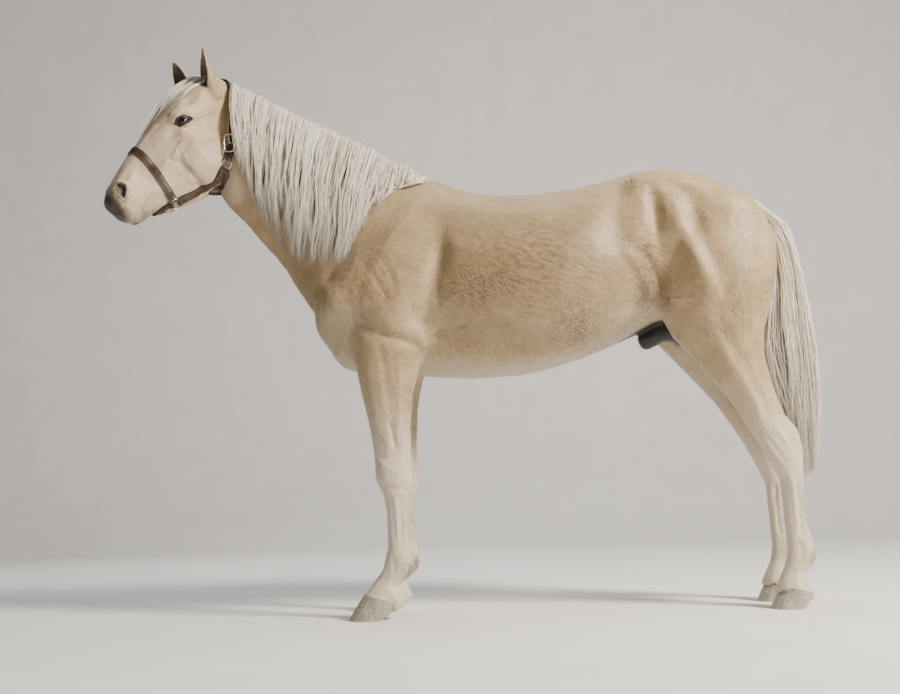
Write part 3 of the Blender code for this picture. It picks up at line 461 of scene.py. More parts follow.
def earAxes(word):
    sign = 1 if word == "left" else -1
    root, tip = (headUpright(s, z, sign * out) for s, z, out in (earForm["root"][word], earForm["tip"][word]))
    along = unit(tip - root)
    ahead = headUpright(-1, 0, 0) - headUpright(0, 0, 0)
    turn = np.array(Matrix.Rotation(-sign * math.radians(earForm["turnIn"][word]), 3, "Z"))
    opening = turn @ ahead
    opening = unit(opening - along * opening.dot(along))
    return root, tip, along, opening, np.cross(along, opening)


def earCup(word):
    root, tip, along, opening, across = earAxes(word)
    rows = catmull(np.stack((earForm["along"], earForm["radius"], earForm["wrap"], earForm["inner"]), axis=1), 4)
    steps = 15
    rings = []
    for place, radius, wrap, inner in rows:
        size = earForm["width"] * radius
        centre = root + (tip - root) * place + opening * earForm["forward"] * size
        angles = np.radians(np.linspace(-wrap, wrap, steps))
        ring = []
        for scale, order in ((1.0, angles), (inner, angles[::-1])):
            for angle in order:
                ring.append(centre + (across * math.sin(angle) - opening * 0.9 * math.cos(angle)) * size * scale)
        rings.append(ring)
    points = np.array(rings).reshape(-1, 3)
    count = 2 * steps
    faces = tubeFaces(len(rings), count, turned=True)
    for row, flip in ((0, 1), (len(rings) - 1, -1)):  # caps as strips between the outer and the inner wall
        for j in range(steps - 1):
            quad = [row * count + k for k in (j, j + 1, count - 2 - j, count - 1 - j)]
            faces.append(tuple(quad[::-flip]))
    return points, faces


# the skin: one closed surface over all the flesh
skinForm = {
    "coarse": 0.006,
    "fine": 0.0032,
    "join": 0.0012,  # each solid of flesh grows this much, so that the saw cuts close
    "coatDepth": 0.002,
    "triangles": 185000,
    "finer": 0.042,  # nearer than this to an eye or a nostril the mesh is cut once more
    "lidCover": 0.0022,
}
eyeRadius = 0.0205
flesh = ["trunk", "neck", "head"] + [f"{leg}_leg_{word}_{length}" for leg in ("fore", "hind")
                                     for word in ("left", "right") for length in ("upper", "lower")]

bodyForms = {  # centre x, |y|, z; radii; pitch in degrees; height
    "shoulderBlade": ((-0.215, 0.200, 1.270), (0.085, 0.15, 0.190), 28, 0.005),
    "bladeRear": ((-0.070, 0.220, 1.180), (0.040, 0.15, 0.160), 4, -0.005),
    "armMuscle": ((-0.235, 0.230, 1.030), (0.095, 0.12, 0.070), 0, 0.006),
    "armHollow": ((-0.330, 0.200, 1.000), (0.030, 0.10, 0.050), 20, -0.004),
    "tricepsDimple": ((-0.150, 0.230, 0.985), (0.026, 0.10, 0.022), 0, -0.006),
    "loinHollow": ((0.560, 0.250, 1.400), (0.040, 0.15, 0.060), 0, -0.008),
    "flankRound": ((0.520, 0.270, 1.120), (0.090, 0.15, 0.080), 0, 0.004),
    "croupMuscle": ((0.860, 0.200, 1.340), (0.110, 0.14, 0.110), 20, 0.006),
    "croupHollow": ((0.760, 0.220, 1.400), (0.050, 0.12, 0.030), 35, -0.005),
    "tricepsCord": ((-0.290, 0.220, 1.110), (0.020, 0.10, 0.080), 28, 0.004),
    "elbowPoint": ((-0.130, 0.175, 0.925), (0.030, 0.06, 0.030), 0, 0.006),
    "tricepsLow": ((-0.190, 0.220, 1.070), (0.050, 0.10, 0.090), 20, 0.006),
    "forearmFront": ((-0.330, 0.150, 0.800), (0.040, 0.08, 0.090), 0, 0.004),
    "kneeFront": ((-0.300, 0.125, 0.475), (0.020, 0.030, 0.030), 0, 0.003),
    "kneeBack": ((-0.190, 0.125, 0.455), (0.012, 0.020, 0.020), 0, 0.003),
    "gaskinOut": ((0.900, 0.190, 0.800), (0.050, 0.06, 0.080), -30, 0.004),
    "hockPoint": ((1.105, 0.130, 0.560), (0.020, 0.022, 0.024), 0, 0.003),
    "hockSide": ((1.055, 0.175, 0.500), (0.026, 0.02, 0.030), 0, 0.003),
    "fetlockFore": ((-0.205, 0.125, 0.175), (0.020, 0.030, 0.024), 0, 0.003),
    "fetlockHind": ((1.135, 0.125, 0.180), (0.020, 0.030, 0.024), 0, 0.003),
    "tuberHip": ((0.590, 0.215, 1.460), (0.022, 0.04, 0.024), 0, 0.006),
    "loinEdge": ((0.450, 0.150, 1.470), (0.120, 0.05, 0.040), 0, -0.003),
    "flankHollow": ((0.530, 0.260, 1.290), (0.035, 0.08, 0.060), 0, -0.006),
    "thighHollow": ((0.765, 0.260, 1.270), (0.026, 0.10, 0.050), -24, -0.008),
    "poverty": ((0.930, 0.180, 1.300), (0.040, 0.10, 0.110), 20, -0.004),
}
bodyLines = {  # points x, |y|, z; width; height
    "shoulderWrinkleA": (((-0.330, 0.220, 1.190), (-0.280, 0.225, 1.120), (-0.250, 0.225, 1.060)), 0.007, -0.0035),
    "shoulderWrinkleB": (((-0.290, 0.225, 1.230), (-0.240, 0.230, 1.160), (-0.215, 0.230, 1.090)), 0.008, -0.0030),
    "shoulderWrinkleC": (((-0.250, 0.225, 1.200), (-0.215, 0.230, 1.150), (-0.205, 0.230, 1.110)), 0.006, 0.0025),
    "forearmGroove": (((-0.275, 0.200, 0.900), (-0.255, 0.190, 0.780), (-0.245, 0.175, 0.640)), 0.016, -0.0035),
    "forearmRidge": (((-0.315, 0.190, 0.800), (-0.300, 0.180, 0.700), (-0.285, 0.172, 0.600)), 0.014, 0.003),
    "forearmRear": (((-0.215, 0.190, 0.860), (-0.215, 0.180, 0.740), (-0.222, 0.170, 0.600)), 0.010, 0.003),
    "forearmDimple": (((-0.245, 0.175, 0.640), (-0.238, 0.172, 0.600), (-0.232, 0.170, 0.570)), 0.009, -0.005),
    "kneeTop": (((-0.290, 0.170, 0.535), (-0.250, 0.175, 0.530), (-0.200, 0.170, 0.540)), 0.009, -0.0035),
    "kneeBump": (((-0.275, 0.172, 0.505), (-0.250, 0.176, 0.490), (-0.225, 0.172, 0.480)), 0.012, 0.0035),
    "kneeLow": (((-0.275, 0.168, 0.440), (-0.245, 0.172, 0.428), (-0.205, 0.168, 0.425)), 0.008, -0.0035),
    "splint": (((-0.238, 0.158, 0.400), (-0.233, 0.155, 0.330), (-0.230, 0.154, 0.260)), 0.005, 0.0025),
    "fetlockDimple": (((-0.250, 0.165, 0.205), (-0.243, 0.168, 0.180), (-0.246, 0.168, 0.155)), 0.008, -0.003),
    "pasternCrease": (((-0.225, 0.155, 0.135), (-0.232, 0.160, 0.118), (-0.240, 0.160, 0.105)), 0.008, -0.003),
    "hindSplint": (((1.082, 0.160, 0.420), (1.084, 0.157, 0.350), (1.088, 0.156, 0.270)), 0.005, 0.0025),
    "hockCrease": (((1.010, 0.165, 0.560), (1.035, 0.172, 0.520), (1.060, 0.172, 0.480)), 0.009, -0.004),
    "hockRidge": (((1.040, 0.165, 0.580), (1.070, 0.170, 0.540), (1.090, 0.170, 0.500)), 0.009, 0.003),
    "hindFetlockDimple": (((1.095, 0.165, 0.210), (1.100, 0.168, 0.185), (1.095, 0.168, 0.160)), 0.008, -0.003),
    "gaskinRidge": (((0.850, 0.220, 0.860), (0.920, 0.200, 0.750), (0.985, 0.180, 0.640)), 0.020, 0.003),
    "gaskinGroove": (((0.890, 0.220, 0.870), (0.955, 0.200, 0.770), (1.010, 0.180, 0.660)), 0.018, -0.0035),
    "croupRidge": (((0.640, 0.200, 1.490), (0.740, 0.220, 1.450), (0.830, 0.230, 1.370)), 0.028, 0.003),
    "croupFurrow": (((0.660, 0.210, 1.455), (0.740, 0.230, 1.410), (0.800, 0.240, 1.350)), 0.026, -0.003),
    "seatLine": (((0.870, 0.200, 1.450), (0.930, 0.190, 1.420), (0.985, 0.170, 1.360)), 0.010, -0.004),
    "shoulderSpine": (((-0.110, 0.140, 1.440), (-0.190, 0.190, 1.330), (-0.300, 0.200, 1.150)), 0.018, 0.004),
    "shoulderFront": (((-0.260, 0.120, 1.470), (-0.360, 0.150, 1.330), (-0.440, 0.150, 1.150)), 0.032, -0.005),
    "tricepsEdge": (((-0.060, 0.230, 1.230), (-0.100, 0.240, 1.090), (-0.120, 0.220, 0.980)), 0.030, -0.008),
    "elbowCrease": (((-0.350, 0.200, 0.985), (-0.260, 0.220, 0.940), (-0.160, 0.200, 0.905)), 0.018, -0.006),
    "girthFold": (((-0.130, 0.170, 0.900), (-0.080, 0.180, 0.915), (-0.010, 0.200, 0.935)), 0.012, 0.005),
    "girthCrease": (((-0.120, 0.180, 0.925), (-0.060, 0.200, 0.945), (0.010, 0.220, 0.960)), 0.010, -0.004),
    "armVein": (((-0.290, 0.200, 0.960), (-0.250, 0.190, 0.880), (-0.230, 0.180, 0.760)), 0.006, 0.0032),
    "chestVein": (((-0.060, 0.240, 0.960), (0.080, 0.270, 0.940), (0.240, 0.280, 0.950), (0.360, 0.270, 0.975)),
                  0.008, 0.0032),
    "hipGroove": (((0.625, 0.240, 1.470), (0.655, 0.260, 1.380), (0.660, 0.260, 1.240)), 0.030, -0.007),
    "thighRidge": (((0.720, 0.270, 1.340), (0.770, 0.280, 1.180), (0.850, 0.260, 0.960)), 0.036, 0.005),
    "thighGroove": (((0.765, 0.270, 1.340), (0.820, 0.280, 1.180), (0.885, 0.260, 0.980)), 0.032, -0.005),
    "hamGroove": (((0.960, 0.200, 1.290), (1.000, 0.220, 1.130), (0.985, 0.210, 0.960)), 0.026, -0.005),
    "flankFold": (((0.560, 0.240, 1.180), (0.625, 0.230, 1.080), (0.640, 0.210, 1.000)), 0.020, 0.006),
    "flankCrease": (((0.610, 0.240, 1.190), (0.660, 0.230, 1.100), (0.675, 0.220, 1.020)), 0.016, -0.008),
    "stifleWrinkleA": (((0.640, 0.230, 1.060), (0.690, 0.240, 1.030), (0.760, 0.250, 1.030)), 0.008, -0.0045),
    "stifleWrinkleB": (((0.870, 0.220, 0.930), (0.930, 0.210, 0.905), (0.990, 0.190, 0.900)), 0.008, -0.0050),
    "stifleWrinkleC": (((0.860, 0.215, 0.905), (0.920, 0.200, 0.880), (0.980, 0.180, 0.870)), 0.007, -0.0045),
    "hamstring": (((1.030, 0.130, 0.800), (1.075, 0.130, 0.680), (1.110, 0.130, 0.590)), 0.010, 0.003),
    "hamstringGroove": (((0.985, 0.165, 0.800), (1.030, 0.160, 0.700), (1.070, 0.160, 0.600)), 0.018, -0.005),
    "thighVein": (((0.840, 0.240, 0.900), (0.900, 0.200, 0.800), (0.985, 0.170, 0.660)), 0.006, 0.0030),
    "foreTendonOut": (((-0.222, 0.155, 0.400), (-0.218, 0.152, 0.320), (-0.220, 0.152, 0.230)), 0.008, -0.0035),
    "foreTendonIn": (((-0.222, 0.095, 0.400), (-0.218, 0.098, 0.320), (-0.220, 0.098, 0.230)), 0.007, -0.0045),
    "hindTendonOut": (((1.098, 0.156, 0.400), (1.100, 0.154, 0.320), (1.104, 0.154, 0.240)), 0.008, -0.0035),
    "hindTendonIn": (((1.098, 0.104, 0.400), (1.100, 0.106, 0.320), (1.104, 0.106, 0.240)), 0.007, -0.0045),
    "croupLine": (((0.620, 0.0, 1.520), (0.800, 0.0, 1.530), (0.960, 0.0, 1.460)), 0.014, -0.004),
    "backLine": (((0.0, 0.0, 1.485), (0.250, 0.0, 1.450), (0.500, 0.0, 1.480)), 0.016, -0.003),
    "breastLine": (((-0.520, 0.0, 1.080), (-0.500, 0.0, 0.980), (-0.430, 0.0, 0.880)), 0.014, -0.006),
    "windpipe": (((-0.780, 0.0, 1.430), (-0.680, 0.0, 1.290), (-0.560, 0.0, 1.130)), 0.030, 0.004),
    "neckGroove": (((-0.760, 0.070, 1.470), (-0.640, 0.080, 1.330), (-0.520, 0.100, 1.180)), 0.024, -0.008),
}
headForms = {  # centre t, n, |left|; radii; turn in degrees; height
    "templeHollow": ((0.170, 0.000, 0.075), (0.028, 0.022, 0.020), 0, -0.009),
    "overEye": ((0.236, 0.012, 0.080), (0.034, 0.010, 0.03), 12, -0.004),
    "jawJoint": ((0.125, -0.070, 0.090), (0.024, 0.022, 0.03), 0, 0.005),
    "browRidge": ((0.215, 0.004, 0.085), (0.030, 0.012, 0.02), 8, 0.004),
    "tearHollow": ((0.285, -0.025, 0.070), (0.026, 0.016, 0.03), 0, -0.007),
    "crestEndHollow": ((0.362, -0.094, 0.060), (0.010, 0.012, 0.03), 0, -0.004),
    "cheekHollow": ((0.385, -0.120, 0.060), (0.045, 0.030, 0.03), 0, -0.005),
    "noseSide": ((0.430, -0.040, 0.055), (0.060, 0.022, 0.03), 0, -0.004),
    "falseNostril": ((0.505, -0.020, 0.050), (0.026, 0.016, 0.03), 0, 0.004),
    "nostrilOuter": ((0.560, -0.045, 0.052), (0.030, 0.026, 0.03), 0, 0.004),
    "upperLip": ((0.600, -0.085, 0.035), (0.020, 0.022, 0.03), 0, 0.004),
    "mouthPad": ((0.545, -0.085, 0.050), (0.022, 0.016, 0.03), 0, 0.004),
    "underJaw": ((0.400, -0.230, 0.000), (0.090, 0.020, 0.018), 0, -0.006),
}
headLines = {
    "faceCrest": (((0.262, -0.060, 0.085), (0.310, -0.068, 0.075), (0.352, -0.078, 0.062)), 0.008, 0.006),
    "crestUnder": (((0.268, -0.080, 0.085), (0.310, -0.088, 0.075), (0.350, -0.096, 0.064)), 0.011, -0.003),
    "cheekBoneArch": (((0.205, -0.040, 0.095), (0.165, -0.058, 0.098), (0.125, -0.074, 0.096)), 0.009, 0.004),
    "noseEdge": (((0.300, 0.028, 0.040), (0.400, 0.018, 0.030), (0.520, -0.002, 0.026)), 0.009, 0.003),
    "cheekFront": (((0.345, -0.110, 0.065), (0.350, -0.150, 0.062), (0.352, -0.200, 0.058), (0.356, -0.235, 0.050)),
                   0.015, -0.007),
    "jawEdge": (((0.085, -0.120, 0.070), (0.140, -0.155, 0.070), (0.200, -0.208, 0.062), (0.260, -0.245, 0.055)),
                0.012, 0.004),
    "faceVein": (((0.300, -0.070, 0.075), (0.330, -0.120, 0.066), (0.345, -0.180, 0.060)), 0.004, 0.0018),
    "faceVeinLow": (((0.360, -0.060, 0.062), (0.400, -0.075, 0.060), (0.450, -0.070, 0.056)), 0.004, 0.0015),
    "lipLine": (((0.522, -0.108, 0.052), (0.550, -0.118, 0.046), (0.580, -0.124, 0.036), (0.606, -0.124, 0.018),
                 (0.614, -0.122, 0.0)), 0.0055, -0.0045),
    "mouthWrinkleA": (((0.516, -0.096, 0.054), (0.512, -0.106, 0.054), (0.516, -0.118, 0.052)), 0.003, -0.003),
    "mouthWrinkleB": (((0.506, -0.094, 0.054), (0.500, -0.106, 0.054), (0.505, -0.122, 0.052)), 0.003, -0.0022),
    "chinGroove": (((0.535, -0.160, 0.045), (0.540, -0.166, 0.020), (0.540, -0.168, 0.0)), 0.010, -0.005),
    "noseWrinkle": (((0.585, -0.062, 0.052), (0.600, -0.066, 0.044), (0.616, -0.064, 0.028)), 0.005, -0.0025),
    "philtrum": (((0.632, -0.050, 0.0), (0.634, -0.075, 0.0), (0.628, -0.100, 0.0)), 0.006, -0.003),
    "throatLatch": (((0.110, -0.165, 0.080), (0.170, -0.215, 0.070), (0.215, -0.262, 0.055)), 0.012, -0.006),
}


def swellBy(places, forms, lift):
    for centre, radii, turn, height in forms.values():
        spin = np.array(Matrix.Rotation(math.radians(turn), 3, "Y"))
        for side in (1, -1):
            middle = np.array(centre)
            middle[places["side"]] *= side
            near = np.flatnonzero((np.abs(places["at"] - middle) < 2.6 * max(radii)).all(axis=1))
            away = (places["at"][near] - middle) @ spin / np.array(radii)
            lift[near] += height * np.exp(-(away**2).sum(axis=1))
            if centre[places["side"]] == 0:
                break


def lineDistance(points, path):
    best = np.full(len(points), 9.0)
    for a, b in zip(path, path[1:]):
        way = b - a
        share = np.clip(((points - a) @ way) / way.dot(way), 0, 1)
        best = np.minimum(best, np.linalg.norm(points - a - share[:, None] * way, axis=1))
    return best


def lineBy(places, lines, lift):
    for path, width, height in lines.values():
        path = catmull(path, 4)
        for side in (1, -1):
            here = path.copy()
            here[:, places["side"]] *= side
            low, high = here.min(axis=0) - 3 * width - 0.03, here.max(axis=0) + 3 * width + 0.03
            near = np.flatnonzero(((places["at"] > low) & (places["at"] < high)).all(axis=1))
            # depth through the body doesn't count much, so that a line drawn near the skin still reaches it
            squeeze = np.ones(3)
            squeeze[places["side"]] = 0.25
            away = lineDistance(places["at"][near] * squeeze, here * squeeze)
            fade = ramp(away, 2.6 * width, 0)
            lift[near] += height * np.exp(-(away / width) ** 2) * fade
            if abs(path[:, places["side"]]).max() == 0:
                break


# the eye's opening, in the ball's own axes
lidForm = {
    "length": 0.0300,  # half the opening's length
    "upper": 0.0150,
    "lower": 0.0112,
    "tilt": 34.0,  # the front corner turned up out of the face's slope
}


def eyeAxes(word):
    sign = 1 if word == "left" else -1
    out = unit(faceLeft * sign * 0.95 + faceDown * 0.18 + faceOut * 0.26)
    front = unit(faceDown - out * faceDown.dot(out))
    up = np.cross(out, front) * (1 if np.cross(out, front).dot(faceOut) > 0 else -1)
    tilt = math.radians(lidForm["tilt"])
    return out, front * math.cos(tilt) + up * math.sin(tilt), up * math.cos(tilt) - front * math.sin(tilt)


def lidEdges(u):  # heights of the upper and the lower lid at u along the opening, -1 rear corner, 1 front corner
    arch = np.clip(1 - u**2, 0, 1)
    upper = lidForm["upper"] * arch**0.62 * (1 - 0.18 * u) - 0.0022 * u
    lower = -lidForm["lower"] * arch**0.75 * (1 + 0.10 * u) - 0.0022 * u
    return upper, lower


def shapeLids(points):
    for word, centre in eyeCentres.items():
        out, front, up = eyeAxes(word)
        away = points - centre
        distance = np.linalg.norm(away, axis=1)
        near = np.flatnonzero((distance < eyeRadius * 2.2) & (away @ out > -0.004))
        local = np.stack((away[near] @ front, away[near] @ up, away[near] @ out), axis=1)
        u = local[:, 0] / lidForm["length"]
        upper, lower = lidEdges(u)
        margin = np.minimum(upper - local[:, 1], local[:, 1] - lower)
        inside = ramp(margin, -0.0012, 0.0012) * (np.abs(u) < 1)
        reach = distance[near]
        cover = eyeRadius + skinForm["lidCover"]
        lidded = np.maximum(reach, cover)
        drawnIn = ramp(reach, eyeRadius * 1.55, eyeRadius * 1.1)  # skin close over the ball lies on it
        target = lidded + (cover - lidded) * drawnIn * 0.85
        # the fold above the upper lid and the one below the lower
        for lid, off, wide, height, outer, inner in ((upper, 0.0085, 0.0026, -0.0036, 1.25, 0.7),
                                                     (lower, -0.0060, 0.0016, -0.0014, 1.2, 0.6)):
            crease = height * np.exp(-((local[:, 1] - lid - off) / wide) ** 2)
            target += crease * ramp(np.abs(u), outer, inner) * (local[:, 2] > 0)
        target = target * (1 - inside) + (eyeRadius - 0.0045) * inside
        points[near] = centre + unit(away[near]) * target[:, None]


nostrilForm = {"at": (0.560, -0.026, 0.046), "long": 0.026, "wide": 0.0150, "tilt": 44.0, "deep": 0.022, "rim": 0.0035}


def shapeNostrils(points, face):
    t0, n0, l0 = nostrilForm["at"]
    for side in (1, -1):
        near = np.flatnonzero((np.abs(face[:, 0] - t0) < 0.05) & (np.abs(face[:, 1] - n0) < 0.05)
                              & (side * face[:, 2] > 0.018))
        ratio = nostrilShape(face[near], side)
        sink = nostrilForm["deep"] * ramp(ratio, 1.10, 0.60)
        rim = nostrilForm["rim"] * np.exp(-((ratio - 1.35) / 0.28) ** 2)
        inward = -faceLeft * side * 0.85 + faceDown * -0.45
        points[near] += unit(inward)[None] * sink[:, None]
        points[near] += (faceLeft * side)[None] * rim[:, None]


def nostrilShape(face, side):  # 0 in the middle, 1 at the rim
    t0, n0, l0 = nostrilForm["at"]
    tilt = math.radians(nostrilForm["tilt"])
    dt, dn = face[:, 0] - t0, face[:, 1] - n0
    a = dt * math.cos(tilt) - dn * math.sin(tilt)  # along the comma, from its top to its tail
    b = dt * math.sin(tilt) + dn * math.cos(tilt)
    b = b + 6.0 * a**2 * np.sign(a)  # the comma's bend
    wide = nostrilForm["wide"] * (1.0 - 0.45 * a / nostrilForm["long"])
    ratio = np.sqrt((a / nostrilForm["long"]) ** 2 + (b / np.maximum(wide, 0.003)) ** 2)
    return np.where(side * face[:, 2] > 0.012, ratio, 9.0)


def nostrilDark(face):
    return np.maximum(*(0.86 * ramp(nostrilShape(face, side), 1.70, 0.90) for side in (1, -1)))


def markingsAndShadeAt(points):
    # how pale, how dark and how leg-like the coat is at each place; the dark is dark skin, and also painted shade on
    # the muzzle and painted shadow in the groin
    face = faceCoords(points)
    x, y, z = (points - origin).T
    t, n, left = face.T
    legs = ramp(z, 0.92, 0.74)
    pale = 0.85 * ramp(z, 0.86, 0.42)
    pale = np.maximum(pale, 0.45 * ramp(z, 1.08, 0.92) * ramp(np.abs(y), 0.20, 0.08))
    pale = np.maximum(pale, 0.35 * np.exp(-((z - 1.0) / 0.05) ** 2) * ramp(np.abs(y), 0.26, 0.15))
    onHead = ramp(t, 0.02, 0.08) * (x < -0.72) * (np.abs(left) < 0.16) * (n > -0.34)
    pale = np.maximum(pale, onHead * 0.30 * ramp(t, 0.05, 0.35))
    # dark muzzle skin round the nostrils and lips, with painted shade on the muzzle's front and on the lower lip
    dark = onHead * 0.92 * ramp(t + 0.25 * n, 0.538, 0.598)
    dark = np.maximum(dark, onHead * 0.78 * ramp(t, 0.49, 0.57) * ramp(n, -0.100, -0.140))
    dark = np.maximum(dark, onHead * 0.72 * np.exp(-((t - 0.565) / 0.036) ** 2 - ((n + 0.040) / 0.036) ** 2))
    dark = np.maximum(dark, nostrilDark(face) * onHead)
    for side in (1, -1):
        mouth = lineDistance(face, catmull(np.array(headLines["lipLine"][0]) * (1, 1, side), 3))
        dark = np.maximum(dark, onHead * 0.66 * ramp(mouth, 0.012, 0.003))
    for word, centre in eyeCentres.items():
        away = np.linalg.norm(points - centre, axis=1)
        out, front, up = eyeAxes(word)
        u = (points - centre) @ front / lidForm["length"]
        upper, lower = lidEdges(u)
        h = (points - centre) @ up
        margin = np.minimum(upper - h, h - lower)
        near = (away < 0.05) & ((points - centre) @ out > 0)
        dark = np.where(near, np.maximum(dark, ramp(margin, -0.0080, -0.0030) * ramp(np.abs(u), 1.40, 1.05)), dark)
        root, tip, along, opening, across = earAxes(word)
        share = (points - root) @ along / np.linalg.norm(tip - root)
        centreLine = root + np.outer(share, tip - root)
        away = points - centreLine
        inCup = (share > 0.0) & (share < 1.05) & (np.linalg.norm(away, axis=1) < 0.05)
        width = np.interp(share, earForm["along"], earForm["radius"]) * earForm["width"]
        inner = np.interp(share, earForm["along"], earForm["inner"])
        fromMiddle = np.linalg.norm(away - np.outer(width * earForm["forward"], opening), axis=1)
        dark = np.where(inCup, np.maximum(dark, 0.85 * ramp(fromMiddle / width, inner + 0.16, inner + 0.02)), dark)
        rim = np.where(inCup, 0.55 * ramp(share, 0.80, 1.0), 0)
        dark = np.maximum(dark, rim)
    # dark sheath and groin skin, with painted shadow in the fold between the belly and the thighs
    sheathLow, sheathHigh = (np.array(corner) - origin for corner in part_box("sheath"))
    groin = np.linalg.norm((np.stack((x, y, z), axis=1) - (sheathLow + sheathHigh) / 2 - (0.03, 0, 0))
                           / ((sheathHigh - sheathLow) / 2 + (0.10, 0.05, 0.03)), axis=1)
    dark = np.maximum(dark, 0.97 * ramp(groin, 1.15, 0.85))
    dark = np.maximum(dark, 0.25 * np.exp(-((x + 0.30) / 0.03) ** 2 - ((z - 0.48) / 0.05) ** 2))
    dark = np.maximum(dark, 0.22 * np.exp(-((x - 1.10) / 0.03) ** 2 - ((z - 0.56) / 0.05) ** 2))
    return np.stack((np.clip(pale, 0, 1), np.clip(dark, 0, 1), legs), axis=1)


def bump3(points, middle, radii):  # 1 in the middle of a place given on the left side, falling off round it
    x, y, z = (points - origin).T
    return np.exp(-((x - middle[0]) / radii[0]) ** 2 - ((np.abs(y) - middle[1]) / radii[1]) ** 2
                  - ((z - middle[2]) / radii[2]) ** 2)


clumpPlaces = (  # where the coat is drawn into clumps
    ((0.070, 0.24, 1.090), (0.14, 0.16, 0.09)), ((0.400, 0.24, 0.960), (0.12, 0.20, 0.09)),
    ((0.250, 0.26, 1.150), (0.26, 0.20, 0.18)), ((0.620, 0.22, 1.180), (0.07, 0.16, 0.12)),
    ((0.860, 0.20, 1.020), (0.13, 0.16, 0.14)), ((-0.300, 0.16, 1.120), (0.13, 0.20, 0.14)),
)


def lieAt(points):
    # how steeply the hair slopes down, how clumped it is, and how deep its gold is: partly the coat's own tone and
    # partly painted shade over the barrel, the chest front and the flank
    x, y, z = (points - origin).T
    steep = ramp(x, -0.05, -0.35)
    steep = np.maximum(steep, ramp(x, 0.70, 0.95))
    clumped = 0.30 + np.zeros(len(points))
    for middle, radii in clumpPlaces:
        clumped = np.maximum(clumped, bump3(points, middle, radii))
    clumped *= ramp(z, 0.50, 0.75) * np.where((x < -0.72) & (z > 1.2), 0.35, 1.0)
    # deeper gold, partly coat tone and partly painted shade
    gold = np.maximum(bump3(points, (0.30, 0.25, 1.20), (0.42, 0.30, 0.24)),
                      0.9 * bump3(points, (-0.48, 0.08, 1.25), (0.22, 0.12, 0.20)))
    gold = np.maximum(gold, 0.7 * bump3(points, (0.70, 0.25, 1.10), (0.10, 0.2, 0.2)))
    return np.stack((steep, clumped, gold), axis=1)


def nodeCopy(name, grow):
    work = bmesh.new()
    work.from_mesh(nodes[name].data)
    bmesh.ops.remove_doubles(work, verts=work.verts, dist=1e-5)
    work.normal_update()
    work.verts.ensure_lookup_table()
    points = [v.co + v.normal * grow for v in work.verts]
    faces = [[v.index for v in f.verts] for f in work.faces]
    work.free()
    return points, faces


def gathered(parts):  # several closed shells as one list of points and faces
    allPoints, allFaces = [], []
    for points, faces in parts:
        start = len(allPoints)
        allPoints += [tuple(p) for p in points]
        allFaces += [tuple(i + start for i in f) for f in faces]
    return allPoints, allFaces


def ball(centre, radius, rings=16, steps=24):
    points = []
    for i in range(rings + 1):
        polar = math.pi * i / rings
        for j in range(steps):
            turn = 2 * math.pi * j / steps
            ray = (math.sin(polar) * math.cos(turn), math.sin(polar) * math.sin(turn), math.cos(polar))
            points.append(centre + radius * np.array(ray))
    return points, tubeFaces(rings + 1, steps)


coronetForm = {  # how far behind the toe and above the floor the ring's middle is; half length and width; rise
    "fore": (0.1155, 0.069, 0.0635, 0.0545, 0.032 / 0.121),
    "hind": (0.0920, 0.063, 0.0560, 0.0505, 0.028 / 0.106),
    "thick": 0.0080,
    "heel": {"fore": (0.158, 0.044, 0.020), "hind": (0.128, 0.040, 0.018)},  # back, up, half the gap
    "bulb": 0.0170,
}


def coronets():
    made = []
    for leg in ("fore", "hind"):
        back, up, long, wide, rise = coronetForm[leg]
        for word in ("left", "right"):
            low, high = (np.array(corner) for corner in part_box(f"hoof_{leg}_{word}"))
            middle = np.array((low[0] + back, (low[1] + high[1]) / 2, up))
            slant = unit(np.array((1.0, 0.0, -rise)))
            over = np.array((-slant[2], 0.0, slant[0]))
            points = []
            steps, sides = 40, 10
            for i in range(steps):
                turn = 2 * math.pi * i / steps
                spoke = slant * math.cos(turn) * long + np.array((0, math.sin(turn) * wide, 0))
                for j in range(sides):
                    around = 2 * math.pi * j / sides
                    points.append(middle + spoke * (1 + (math.cos(around) - 0.75) * coronetForm["thick"] / long)
                                  + over * math.sin(around) * coronetForm["thick"])
            made.append((points, tubeFaces(steps, sides, joined=True)))
            behind, high, gap = coronetForm["heel"][leg]
            for side in (1, -1):
                heel = np.array((low[0] + behind, middle[1] + side * gap, high))
                made.append(ball(heel, coronetForm["bulb"], 10, 14))
    return made


def groinFold():  # the skin between the sheath, the belly and the thighs
    low, high = (np.array(corner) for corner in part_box("sheath"))
    middle = (low + high) / 2 + (0.055, 0, 0.020)
    points, faces = ball(middle, 0.05, 12, 18)
    return [middle + (p - middle) * (2.1, 0.9, 0.95) for p in points], faces


print("skin: joining the solids of flesh")
shell = meshObject("skin", *gathered([nodeCopy(name, skinForm["join"]) for name in flesh]))
shell = remeshed(shell, skinForm["coarse"])
points = pointsOf(shell.data)
lengths = faceCoords(points)
aboveKnee = ramp((points - origin)[:, 2], 0.55, 0.95)
headShare = ramp(lengths[:, 0], 0.02, 0.15) * ((points - origin)[:, 0] < -0.75)
amount = 0.35 + 0.65 * aboveKnee * (1 - 0.75 * headShare)
points = evened(points, edgesOf(shell.data), 12, amount)
setPoints(shell.data, points)
shellFaces = [tuple(p.vertices) for p in shell.data.polygons]
eyeCovers = [ball(eyeCentres[word], eyeRadius + skinForm["lidCover"]) for word in eyeCentres]
joined = gathered([(points, shellFaces), nodeCopy("sheath", skinForm["join"]), earCup("left"), earCup("right"),
                   *eyeCovers, *coronets(), groinFold()])
bpy.data.objects.remove(shell)
skin = meshObject("skin", *joined)
skin = remeshed(skin, skinForm["fine"])
points = pointsOf(skin.data)
skinEdges = edgesOf(skin.data)
points = evened(points, skinEdges, 4, np.full(len(points), 0.8))
sheathLow, sheathHigh = (np.array(corner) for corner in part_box("sheath"))
